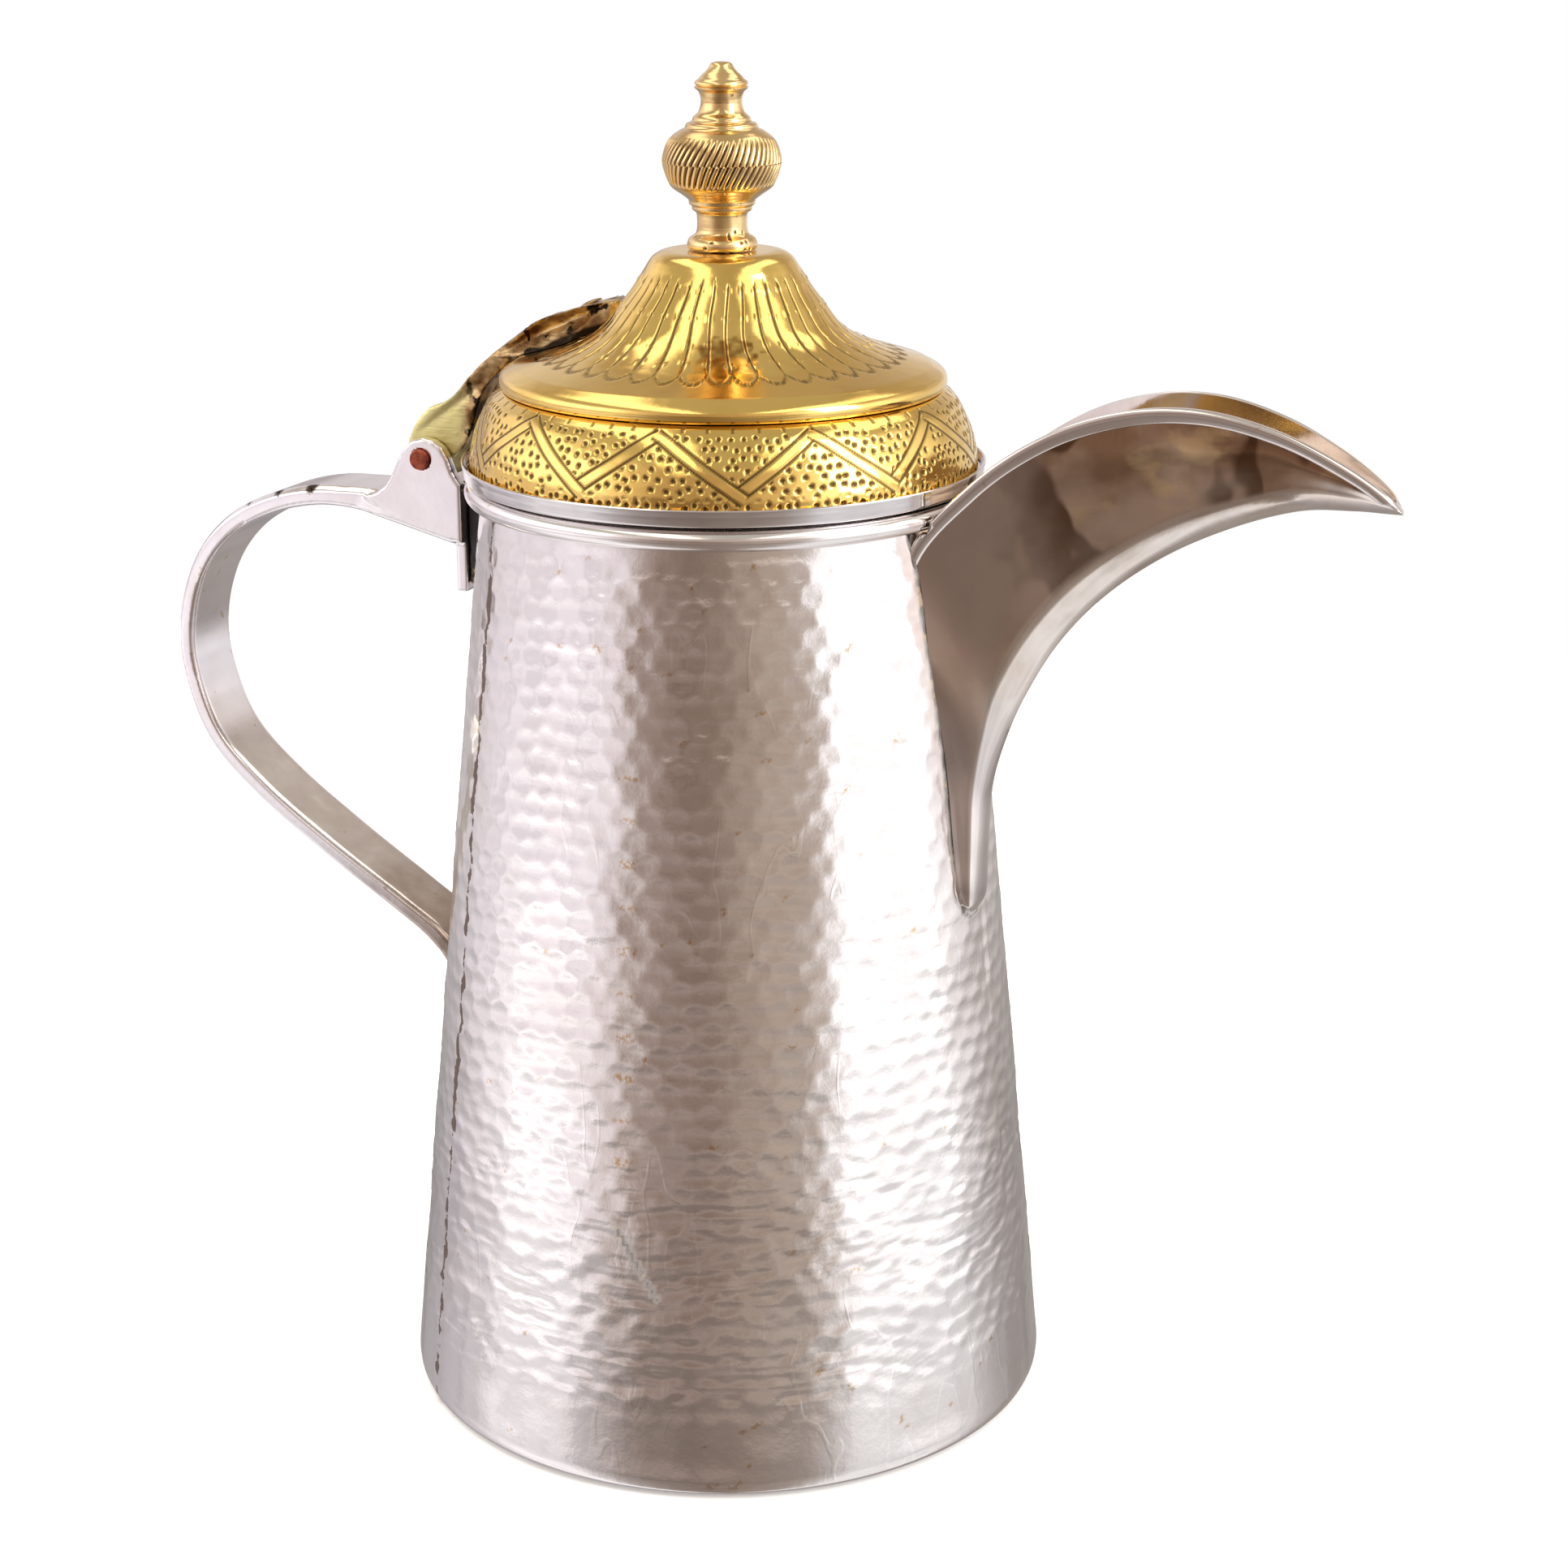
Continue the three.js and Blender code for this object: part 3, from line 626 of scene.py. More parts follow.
def handle_notches():
    """Three V cuts filed across each upper edge of the handle."""
    tools = []
    for x, z, lean in NOTCHES:
        c, s = math.cos(lean), math.sin(lean)
        wedge = [(x + u * c - v * s, z + u * s + v * c) for u, v in NOTCH_WEDGE]
        tools += [plate("notch", wedge, 4.6, side * 9.6) for side in (-1, 1)]
    return tools


def handle():
    """Strap, flange and ears in one casting, bored for the pin."""
    flange = plate("flange", [(-63.4, 181), (-60.6, 181), (-60.6, 205.8), (-63.4, 205.8)], 16)
    ears = [plate("ear", EAR_OUTLINE, EAR_THICKNESS, side * EAR_MIDDLE) for side in (-1, 1)]
    thing = cast("handle_casting", [handle_strap(), flange, *ears], 0.42, 3)
    for tool in handle_notches():
        cut(thing, tool)
    cut(thing, bar("knuckle_room", KNUCKLE_ROOM_RADIUS, -7.2, 7.2, PIN_X, PIN_Z))
    cut(thing, bar("pin_hole", PIN_RADIUS + 0.1, -15, 15, PIN_X, PIN_Z))
    cut(thing, pot_space("handle_trim", 0.1))
    return thing


def saddle():
    """The soldered block behind the flange: uneven, with its corners melted round."""
    block = plate("pad", [(-60.45, 182.6), (-50, 182.6), (-50, 204.4), (-60.45, 204.4)], 14.6)
    thing = cast("saddle_block", [block], 0.5, 4)

    def melt(points):
        swell = 0.35 * soft_noise(points[:, 2] / 2.3, points[:, 0] / 2.1, 41)
        points[:, 1] += swell * np.clip(points[:, 1] / 5, -1, 1)
        return points

    move_points(thing, melt)
    cut(thing, pot_space("pad_trim", 0.1))
    return soft_edges(thing, 40)


def pin():
    """The copper pin: its ends are left with filed, slightly tilted faces."""
    thing = bar("copper_pin", PIN_RADIUS, -11.3, 11.3, PIN_X, PIN_Z, 40)
    bevel = thing.modifiers.new("bevel", "BEVEL")
    bevel.width = 0.35 * MM
    bevel.segments = 2
    bevel.limit_method = "ANGLE"
    evaluated(thing)

    def file_end(points):
        end = np.abs(points[:, 1]) > 10.7
        tilt = 0.12 * (points[:, 0] - PIN_X) - 0.05 * (points[:, 2] - PIN_Z)
        points[:, 1] -= np.where(end, np.sign(points[:, 1]) * np.maximum(tilt, 0), 0)
        return points

    move_points(thing, file_end)
    return thing


# ---- Lid ----
ZIGZAGS = 10
V_ANGLE = math.radians(-63.2)  # where one V of the zigzag points down
BAND_RADIUS = 54.0
ZIG_LOW = 4.5  # along the band's curve, from its lower edge
ZIG_HIGH = 16.9
RIBBON_HALF = 1.3
FLUTES = 40
BEAD_RINGS = (254.4, 249.2, 243.9, 240.9)  # their heights
STAIN_ANGLE = math.radians(-66)


def arc_length(path):
    steps = np.linalg.norm(np.diff(path, axis=0), axis=1)
    return np.concatenate([[0], np.cumsum(steps)])


def band_path():
    points = [(55.9, DOME_LOW), (55.45, 218), (54.05, 223), (51.4, 228.4), (49.4, 230.4), (48.0, 231.3)]
    return smooth(points, 0.33)


def stroke(x, s, run, rise):
    """Distance across and place along a straight stroke that starts at the origin."""
    length = math.hypot(run, rise)
    return (x * rise - s * run) / length, (x * run + s * rise) / length, length


def zigzag(angle, s):
    """The chased double lines and the bare ribbons between them, as two masks."""
    period = TURN / ZIGZAGS
    u = np.mod((angle - V_ANGLE) / period + 0.5, 1) - 0.5
    wide = BAND_RADIUS * period
    lines, bare, over = np.zeros((3, *u.shape))
    for direction in (-1, 1):
        for k in (-1, 0, 1):
            x = (u - k) * wide * direction
            across, along, length = stroke(x, s - ZIG_LOW, wide / 2, ZIG_HIGH - ZIG_LOW)
            across = np.abs(across)
            within = (along > -1.6) * (along < length + 0.6)
            mark = within * falling(0.20, 0.44, np.abs(across - RIBBON_HALF))
            if direction == 1:
                mark = mark * (1 - over)
            else:
                over = np.maximum(over, within * (across < RIBBON_HALF))
            lines = np.maximum(lines, mark)
            bare = np.maximum(bare, within * (across < RIBBON_HALF + 0.55))
    return lines, bare


def band_marks(angle, radius, height):
    """The zigzag with dots between its strokes, a border of dashes below it and ticks above it."""
    lengths = arc_length(band_path())
    s = np.full(radius.shape, -1.0)
    s[: len(lengths)] = lengths[:, None]
    lines, bare = zigzag(angle, s)
    turn = np.mod(angle / TURN, 1)
    near, value = dents(turn * 140, s / 2.15, 140, 51, 0.5)
    dots = falling(0.040, 0.092, near) * (value > 0.05) * (1 - bare)
    dots *= smoothstep(3.2, 3.8, s) * falling(17.0, 17.6, s)
    near, value = dents(turn * 168, (s - 0.9) / 2.5, 168, 61, 0.4)
    dashes = falling(0.045, 0.10, near) * (s > 0.9) * (s < 3.4) * (value > 0.12) * (1 - bare)
    shift = 0.2 * dents(turn * 60, (s - 17.4) / 1.8, 60, 71, 0.5)[1]
    ticks = (np.abs(np.mod(turn * 60 + shift, 1) - 0.5) < 0.07) * (s > 17.6) * (s < 19.4)
    depth = 0.12 * lines + 0.26 * np.maximum(dots, dashes) + 0.12 * ticks
    wave = 0.10 * soft_noise(turn * 40, s / 5, 52) + 0.05 * soft_noise(turn * 90, s / 2.5, 53)
    wave *= smoothstep(0.4, 2.5, s) * falling(17, 19, s)
    shown = (s >= 0) * smoothstep(0.1, 0.8, s)
    cuts = np.clip(lines + dots + dashes + 0.7 * ticks, 0, 1)
    return radius + shown * (wave - depth), height, {"mark": cuts * shown, "stain": 0 * radius}


def dome_band():
    outer = band_path()
    inner = [(46.6, 230.9), (48.3, 229.4), (50.3, 227.6), (52.9, 222.6), (54.2, 217.8), (54.7, DOME_LOW)]
    return turned("dome_band", outer.tolist() + inner, BAND_COLUMNS, band_marks, smooth_angle=60)


def flare_path():
    ridge = smooth([(48.0, 231.4), (48.6, 232.0), (48.9, 233.1), (48.2, 234.7), (45.4, 236.3)], 0.45)
    flare = smooth([(45.4, 236.3), (40.8, 237.6), (36, 239.1), (31.8, 240.8), (28, 242.8), (25.2, 245.2),
                    (23.2, 247.7), (21.3, 250.2), (19.5, 252.6), (17.6, 255.6), (16.3, 257.7)], 0.62)
    shoulder = smooth([(16.3, 257.7), (15.2, 259.2), (13.7, 260.2), (12, 260.65), (9.6, 260.7)], 0.4)
    return np.vstack([ridge[:-1], flare[:-1], shoulder, [(7.0, 260.7), (2.6, 260.7)]])


def flare_marks(angle, radius, height):
    """Chased flutes with scalloped ends, four rings of raised beads and one brown stain."""
    outer = np.zeros(radius.shape, bool)
    outer[: len(flare_path())] = True
    turn = np.mod(angle / TURN, 1)
    place = turn * FLUTES + 0.004 * np.sin((height - 240) / 4) * FLUTES
    place = place + 0.1 * soft_noise(turn * FLUTES, height / 9, 81)
    f = np.mod(place, 1) - 0.5
    number = np.floor(place)
    flute_width = TURN * radius / FLUTES
    end = 239.0 + 0.5 * scatter(number, 0, 82)
    start = 256.3 - 1.2 * scatter(number, 3, 83)
    on_line = smoothstep(end, end + 0.8, height) * falling(start, start + 0.5, height)
    lines = falling(0.12, 0.34, (0.5 - np.abs(f)) * flute_width) * on_line
    arch = 1 - (2 * f) ** 2
    scallop = falling(0.10, 0.22, np.abs(height - 239.2 + 1.15 * arch) * 0.672)
    scallop *= np.mod(f * 9 + 0.5, 1) > 0.28
    beads = np.zeros(radius.shape)
    for z in BEAD_RINGS:
        z_here = z + 0.7 * (scatter(number + 0.5 * (f > 0), z, 84) - 0.5)
        rise = (height - z_here) * (1.3 if z > 245 else 2.0)
        away = np.hypot(rise, (0.34 - np.abs(f)) * flute_width)
        beads = np.maximum(beads, falling(0.15, 0.6, away))
    beads *= scatter(number, 9, 85) > 0.15
    wave = 0.10 * soft_noise(turn * 22, height / 5, 86)
    wave *= smoothstep(236, 238, height) * falling(256, 258, height)
    lift = (wave + 0.07 * arch * on_line - 0.16 * lines - 0.10 * scallop + 0.16 * beads) * outer
    beside = along_from(angle, STAIN_ANGLE, radius)
    blot = np.hypot(beside / 7.5, (height - 242.9) / 2.5) + 0.45 * soft_noise(beside / 1.4, height / 0.7, 87)
    stain = falling(0.75, 1.05, blot) * (0.70 + 0.45 * soft_noise(beside / 1.1, height / 0.6, 88))
    marks = {"mark": outer * np.clip(lines + 0.8 * scallop, 0, 1), "stain": outer * np.clip(stain, 0, 1)}
    return radius + lift * 0.6, height + lift * 0.8, marks


def dome_flare():
    inner = [(2.6, 259.5), (12.6, 259.3), (14.9, 257.2), (20, 249.8), (24.2, 244.6), (30.9, 239.5),
             (40.1, 236.1), (45.6, 234.6), (46.9, 233.0), (46.8, 231.8)]
    return turned("dome_flare", flare_path().tolist() + inner, FLARE_COLUMNS, flare_marks, smooth_angle=60)


def lid_ring():
    outer = smooth([(56.0, 211.85), (56.9, 212.2), (57.15, 213.2), (57.3, 214.4)], 0.3).tolist()
    lip = [(57.55, 215.2), (57.55, 215.55), (57.3, 215.75), (57.0, 215.7), (56.85, 215.3)]
    inner = [(56.4, 213.6), (49.0, 213.5), (49.0, 211.8)]

    def uneven(angle, radius, height):
        return radius + 0.05 * soft_noise(angle * 5, height / 9, 91) * (radius > 55), height, None

    return turned("silver_ring", outer + lip + inner, 320, uneven, smooth_angle=40)


def inner_collar():
    """The thin collar under the ring that enters the mouth of the pot."""
    path = [(49.9, 204.5), (50.6, 204.5), (50.9, 204.8), (50.9, 211.5), (49.9, 211.5)]
    return turned("inner_collar", path, 192, smooth_angle=40)


FINIAL_OUTLINE = [
    (7.3, 261.0), (7.55, 261.5), (7.5, 262.4), (7.0, 263.3), (5.75, 264.2), (5.4, 265.6), (5.4, 267.2),
    (5.6, 268.6), (6.4, 269.2), (6.55, 270), (7.1, 270.5), (7.3, 271.4), (8.7, 272.5), (10.8, 274),
    (11.7, 275.6), (12.5, 277.8), (12.8, 279.6), (12.5, 281.3), (11.75, 283.3), (10.5, 284.8),
    (8.9, 285.9), (7.9, 286.4), (7.5, 287.3), (6.4, 287.8), (6.0, 288.7), (5.0, 289.6), (4.5, 291),
    (4.4, 292.4), (4.9, 293.9), (5.6, 294.5), (5.75, 294.9), (5.35, 295.2), (5.7, 295.6), (5.5, 296.1),
    (4.9, 296.5), (4.3, 297.2), (3.2, 298.2), (2.6, 299.0), (2.2, 299.7), (1.2, 300.05), (0, 300.1),
]
TWISTS = 52  # grooves round the finial's bulb, in two tiers
TIER_SPLIT = 279.3
TWIST_PER_MM = 0.32


def finial_marks(angle, radius, height):
    outer = (height > 261.2) * (radius > 2.6)
    bulb = smoothstep(274.0, 275.6, height) * falling(283.4, 285.0, height) * outer
    tier = (height > TIER_SPLIT) * 0.5
    twist = angle * TWISTS / TURN - (height - 279.5) * TWIST_PER_MM + tier
    groove = np.abs(np.mod(twist, 1) - 0.5) * 2
    cut_in = falling(0.05, 0.60, groove) * bulb
    flaw, value = dents(angle * 4.5, height / 1.0, 28, 92, 0.9)
    pits = falling(0.02, 0.12, flaw) * (value > 0.72) * outer * (height < 266)
    turning = 0.02 * np.sin(height * 9) * outer * (1 - bulb)
    radius = radius - 0.42 * cut_in - 0.28 * pits + turning
    return radius, height, {"mark": np.clip(cut_in + pits, 0, 1), "stain": 0 * radius}


def finial():
    outside = smooth(FINIAL_OUTLINE, 0.3)
    outside[-1, 0] = 0
    bore = [(0, 274.5), (2.3, 274.5), (2.3, 261.0)]
    return turned("turned_finial", bore + outside.tolist(), FINIAL_COLUMNS, finial_marks, smooth_angle=40)


STRAP_TOP = [
    (-76.2, 211.3), (-75.3, 215), (-73.2, 219.2), (-69.8, 222.6), (-66.8, 223.7), (-63.8, 225.6),
    (-60.4, 229.2), (-56.6, 233.3), (-52.2, 237.1), (-47, 240.7), (-42.6, 243.3), (-38.6, 245),
    (-33, 246.9), (-27.5, 248.4), (-23.6, 248.8),
]
STRAP_UNDERSIDE = [
    (-22.4, 245.0), (-25, 242.2), (-30, 239.6), (-36, 237.8), (-42, 236.0), (-46, 235.0), (-48.8, 234.2),
    (-52, 232.2), (-55, 229.2), (-57, 226), (-58.6, 221.5), (-60.6, 215.5), (-64.8, 210.5),
]
RIVETS = [(-40.4, 243.9), (-31.6, 247.3)]
RIVET_TILT = math.radians(22.5)
BORE_RADIUS = 2.75
# Nicks along the strap's two edges: place along X, side and depth.
NICKS = [
    (-44.5, -1, 1.1), (-39.0, -1, 1.4), (-36.5, -1, 0.9), (-29.6, -1, 1.5),
    (-43, 1, 1.2), (-38, 1, 1.0), (-33, 1, 1.4), (-28.5, 1, 1.0),
]


def strap_width(x, z):
    places = [-78, -62, -57, -52, -49, -46, -43, -40, -36, -32, -28, -25.4, -23.4, -22]
    widths = [13.4, 13.4, 12.2, 9.8, 9.2, 10.2, 14, 17, 18.8, 18.4, 15.6, 12, 7, 4]
    return float(np.interp(x, places, widths))


def lid_strap():
    """The cast strap: a notched leaf on the dome, a neck and a knuckle bored for the pin."""
    outline = smooth(STRAP_TOP, 1.2).tolist() + smooth(STRAP_UNDERSIDE, 1.6).tolist()
    leaf = plate("leaf", outline, strap_width)
    thing = cast("brass_strap", [leaf, bar("barrel", 5.8, -6.7, 6.7, PIN_X, PIN_Z)], 0.4, 3)
    for x, side, deep in NICKS:
        z = float(np.interp(x, [-47, -38.6, -33, -27.5], [239.4, 243.3, 245.2, 246.4]))
        wedge = [(x - 0.55, z + 1.7), (x + 0.75, z + 1.9), (x + 0.35, z - 1.6), (x - 0.25, z - 1.6)]
        cut(thing, plate("nick", wedge, 2 * deep, side * strap_width(x, z) / 2))

    def hand_filed(points):
        x, y, z = points.T
        points[:, 2] += 0.16 * soft_noise(x / 2.6, y / 2.6, 101) * (x > -62)
        points[:, 1] += 0.16 * soft_noise(x / 1.9, z / 1.7, 102) * (x > -60)
        return points

    move_points(thing, hand_filed)
    cut(thing, bar("bore", BORE_RADIUS, -12, 12, PIN_X, PIN_Z))
    dome = [(r + 0.3, z) for r, z in band_path()[8:-4]] + [(r + 0.12, z + 0.12) for r, z in flare_path()[2:]]
    cut(thing, turned("strap_trim", [(0, 200), *dome, (0, 261)], 192))
    return soft_edges(thing, 38)


def rivet(name, place):
    """A rivet with a hammered, slightly flattened head."""
    head = [(2.5, 0.05), (2.55, 0.2), (2.2, 0.45), (1.5, 0.62), (0.7, 0.7), (0, 0.72)]
    path = [(0, -9.1), (1.7, -9.1), (2.2, -8.4), (1.3, -8.3), (1.3, 0.05)] + smooth(head, 0.25).tolist()
    path[-1] = [0, path[-1][1]]
    thing = turned(name, path, 36)

    def seat(points):
        x, y, z = points.T
        c, s = math.cos(RIVET_TILT), math.sin(RIVET_TILT)
        return np.stack([place[0] + x * c - z * s, y, place[1] + x * s + z * c], axis=1)

    move_points(thing, seat)
    return thing


# ---- Materials ----
# Colours are linear, and places in a node tree are metres.
class Nodes:
    """A short way to write the node tree of a material or a world."""

    def __init__(self, owner, coordinates="Object"):
        owner.use_nodes = True
        self.owner = owner
        self.tree = owner.node_tree
        self.place = self.add("ShaderNodeTexCoord").outputs[coordinates]

    def add(self, kind, inputs=(), **settings):
        """A new node. inputs gives a value or another node's socket for each named input."""
        node = self.tree.nodes.new(kind)
        for key, value in settings.items():
            setattr(node, key, value)
        self.fill(node, dict(inputs))
        return node

    def fill(self, node, inputs):
        for key, value in inputs.items():
            if isinstance(value, bpy.types.NodeSocket):
                self.tree.links.new(value, node.inputs[key])
            else:
                node.inputs[key].default_value = value

    def noise(self, scale, detail=4.0, stretch=(1, 1, 1)):
        scaled = self.add("ShaderNodeMapping", {"Scale": stretch, "Vector": self.place})
        inputs = {"Scale": scale, "Detail": detail, "Roughness": 0.55, "Vector": scaled.outputs["Vector"]}
        return self.add("ShaderNodeTexNoise", inputs).outputs["Fac"]

    def spread(self, value, low, high, to_low=0.0, to_high=1.0):
        inputs = {"Value": value, "From Min": low, "From Max": high, "To Min": to_low, "To Max": to_high}
        return self.add("ShaderNodeMapRange", inputs, interpolation_type="SMOOTHSTEP").outputs["Result"]

    def patches(self, scale, detail, low, high, to_low=0.0, to_high=1.0):
        return self.spread(self.noise(scale, detail), low, high, to_low, to_high)

    def math(self, operation, a, b=0.0):
        return self.add("ShaderNodeMath", {0: a, 1: b}, operation=operation).outputs[0]

    def times(self, a, b):
        return self.math("MULTIPLY", a, b)

    def plus(self, a, b):
        return self.math("ADD", a, b)

    def minus(self, a, b):
        return self.math("SUBTRACT", a, b)

    def size_of(self, a):
        return self.math("ABSOLUTE", a)

    def mix(self, factor, a, b, kind="MIX"):
        a, b = (c if isinstance(c, bpy.types.NodeSocket) else (*c, 1) for c in (a, b))
        inputs = {"Factor": factor, 6: a, 7: b}
        return self.add("ShaderNodeMix", inputs, data_type="RGBA", blend_type=kind).outputs[2]

    def stain(self, color, mask, share, tint):
        return self.mix(self.times(mask, share), color, tint)

    def ramp(self, value, low, high, stops):
        """A ramp over low..high. Each stop is (place, grey or colour)."""
        inputs = {"Value": value, "From Min": low, "From Max": high}
        share = self.add("ShaderNodeMapRange", inputs).outputs["Result"]
        ramp = self.add("ShaderNodeValToRGB", {"Fac": share})
        elements = ramp.color_ramp.elements
        elements.remove(elements[1])
        for k, (place, color) in enumerate(stops):
            position = (place - low) / (high - low)
            stop = elements[0] if k == 0 else elements.new(position)
            stop.position = position
            stop.color = (*color, 1) if isinstance(color, tuple) else (color, color, color, 1)
        return ramp.outputs["Color"]

    def axes(self, vector):
        return self.add("ShaderNodeSeparateXYZ", {0: vector}).outputs

    def mark(self, name):
        return self.add("ShaderNodeAttribute", attribute_name=name).outputs["Fac"]

    def bump(self, height, strength, distance):
        inputs = {"Strength": strength, "Distance": distance, "Height": height}
        return self.add("ShaderNodeBump", inputs).outputs["Normal"]

    def finish(self, color, rough, normal, metallic=1.0):
        inputs = {"Base Color": color, "Roughness": rough, "Metallic": metallic, "Normal": normal}
        self.fill(self.tree.nodes["Principled BSDF"], inputs)
        return self.owner


def surface(name):
    return Nodes(bpy.data.materials.new(name))


SILVER = (0.85, 0.82, 0.81)
WARM_SILVER = (0.66, 0.57, 0.50)
BRASS = (0.90, 0.625, 0.19)
DARK_BRASS = (0.62, 0.38, 0.08)
BROWN = (0.07, 0.035, 0.012)
# Near black of the dark marks, including the painted shade round the handle's pad.
MARK_AND_SHADE_BLACK = (0.03, 0.02, 0.018)
SEAM_ANGLE = math.radians(-132.5)


def hammered_plate():
    """Clouds, wisps and worn specks, a ragged dark seam, and dark marks along the spout's solder line and a
    scratch, with painted shade round the handle's pad.
    """
    m = surface("hammered_plate")
    x, y, z = m.axes(m.place)
    color = m.stain(SILVER, m.patches(38, 5, 0.45, 0.72), 0.22, WARM_SILVER)
    wander = m.times(m.minus(m.noise(110, 4, (0.02, 0.02, 1)), 0.5), 0.09)
    off_seam = m.size_of(m.plus(m.plus(m.math("ARCTAN2", y, x), -SEAM_ANGLE), wander))
    seam = m.math("LESS_THAN", off_seam, m.patches(230, 4, 0.35, 0.68, -0.001, 0.026))
    dark_marks_and_shade = m.mark("dark_marks_and_shade")
    color = m.stain(color, m.times(m.mark("speck"), m.patches(900, 2, 0.42, 0.58)), 0.75, (0.55, 0.33, 0.10))
    color = m.stain(color, seam, 0.9, (0.12, 0.065, 0.035))
    wisp = m.size_of(m.minus(m.noise(60, 2, (1, 1, 0.35)), 0.5))
    wisp = m.times(m.spread(wisp, 0.004, 0.014, 1, 0), m.patches(24, 2, 0.52, 0.6))
    color = m.stain(color, wisp, 0.3, (0.95, 0.93, 0.92))
    # Dark marks turn near black: solder, a scratch, and painted shade round the handle's pad.
    color = m.mix(dark_marks_and_shade, color, m.mix(m.patches(260, 4, 0.56, 0.66), MARK_AND_SHADE_BLACK, (0.36, 0.24, 0.10)))
    rough = m.plus(m.patches(60, 5, 0.3, 0.75, 0.08, 0.17), m.times(m.math("MAXIMUM", seam, dark_marks_and_shade), 0.3))
    normal = m.bump(m.plus(m.noise(420, 3), m.times(wisp, 0.35)), 0.12, 0.0004)
    return m.finish(color, rough, normal, metallic=m.minus(1.0, m.times(dark_marks_and_shade, 0.9)))


def smooth_plate(name):
    """Polished plate with faint clouds and a few brown flecks."""
    m = surface(name)
    tone = m.stain(SILVER, m.patches(45, 5, 0.45, 0.75), 0.3, WARM_SILVER)
    tone = m.stain(tone, m.patches(260, 2, 0.70, 0.76), 0.5, (0.55, 0.36, 0.16))
    gloss = m.patches(80, 5, 0.3, 0.75, 0.10, 0.20)
    return m.finish(tone, gloss, m.bump(m.noise(300, 4, (1, 1, 0.35)), 0.06, 0.0004))


def spout_plate():
    """Flat walls with brown and a darker wandering streak painted as reflections of the room's dark side, a
    greyer root, and a paler keel tinted beige as a painted reflection of the floor.
    """
    m = surface("spout_plate")
    x, y, z = m.axes(m.place)
    facing = m.axes(m.add("ShaderNodeTexCoord").outputs["Normal"])["Y"]
    outward_only = m.spread(m.times(facing, y), 0.0005, 0.002)
    wall = m.times(m.spread(m.size_of(facing), 0.86, 0.97), outward_only)
    out = m.spread(m.plus(x, m.times(m.noise(40, 3), 0.03)), 0.078, 0.098)
    # Painted reflection: the brown of the walls stands for the room's warm dark side seen in the plate.
    brown = m.mix(m.patches(34, 4, 0.40, 0.62), (0.44, 0.29, 0.19), (0.74, 0.58, 0.46))
    gold = m.spread(m.noise(48, 5, (1, 1, 1.6)), 0.58, 0.70)
    brown = m.stain(brown, gold, 0.8, (0.92, 0.72, 0.44))
    # Painted reflection: a darker wandering streak in the walls.
    painted_reflection_streak = m.size_of(m.minus(m.noise(26, 3, (1.3, 1, 0.8)), 0.47))
    brown = m.mix(m.spread(painted_reflection_streak, 0.02, 0.055, 0.9, 0), brown, (0.16, 0.085, 0.045))
    side = m.mix(out, (0.76, 0.64, 0.57), brown)
    # Painted reflection: the keel's beige stands for the floor seen in it.
    keel = m.mix(m.patches(60, 4, 0.4, 0.7), (0.80, 0.74, 0.69), (0.68, 0.60, 0.53))
    color = m.mix(m.spread(z, 0.150, 0.180), (0.80, 0.75, 0.73), m.mix(wall, keel, side))
    gloss = m.patches(80, 5, 0.3, 0.75, 0.08, 0.17)
    return m.finish(color, gloss, m.bump(m.noise(240, 4, (1, 1, 0.35)), 0.08, 0.0004))


def lid_brass(name, color, dark, rough):
    """Polished brass with brown in its chased lines and a stain."""
    m = surface(name)
    tone = m.stain(color, m.patches(55, 5, 0.42, 0.75), 0.45, dark)
    tone = m.stain(tone, m.mark("stain"), 0.9, (0.26, 0.10, 0.015))
    tone = m.stain(tone, m.mark("mark"), 0.92, BROWN)
    gloss = m.plus(m.patches(120, 4, 0.3, 0.75, *rough), m.times(m.mark("mark"), 0.3))
    return m.finish(tone, gloss, m.bump(m.noise(500, 3), 0.08, 0.0003))


LEAF_SLOPE = 0.41  # rise of the strap's underside along X, and its level at X = 0
LEAF_LEVEL = 0.25486
NECK_SLOPE = 1.296  # the same for the steeper part between leaf and knuckle
NECK_LEVEL = 0.2974


def strap_brass():
    """Browned on the leaf with dark marks, painted shade along its underside and on the neck's inner side,
    filed bright and greenish near the knuckle.
    """
    m = surface("aged_brass")
    x, y, z = m.axes(m.place)
    leaf = m.spread(m.plus(x, m.times(m.noise(160, 3), 0.006)), -0.0605, -0.0570)
    aged = m.mix(m.patches(170, 5, 0.38, 0.62), (0.70, 0.50, 0.25), (0.22, 0.115, 0.045))
    bright = m.mix(m.patches(90, 4, 0.4, 0.7), (0.84, 0.78, 0.38), (0.66, 0.58, 0.25))

    def ragged_rise(slope, level):
        """Height above a sloping line, made uneven."""
        return m.plus(m.minus(m.minus(z, m.times(x, slope)), level), m.times(m.noise(200, 3), 0.002))

    # Painted shade: dark along the leaf's underside on the dome, and on the neck's inner side above the
    # band.
    under = m.spread(ragged_rise(LEAF_SLOPE, LEAF_LEVEL), 0.0007, 0.0015, 1, 0)
    under = m.times(under, m.spread(x, -0.050, -0.046))
    inner = m.spread(ragged_rise(NECK_SLOPE, NECK_LEVEL), 0.0022, 0.0036, 1, 0)
    inner = m.times(m.times(inner, m.spread(x, -0.050, -0.048, 1, 0)), m.spread(x, -0.0600, -0.0585))
    # Dark marks at random, joined with the painted shade.
    marks_and_painted_shade = m.math("MAXIMUM", m.patches(280, 3, 0.57, 0.64), m.math("MAXIMUM", under, inner))
    color = m.mix(leaf, bright, m.mix(marks_and_painted_shade, aged, (0.03, 0.02, 0.012)))
    file_lines = m.noise(650, 2, (0.25, 0.25, 1.6))
    return m.finish(color, m.spread(leaf, 0, 1, 0.42, 0.36), m.bump(file_lines, 0.35, 0.0004))


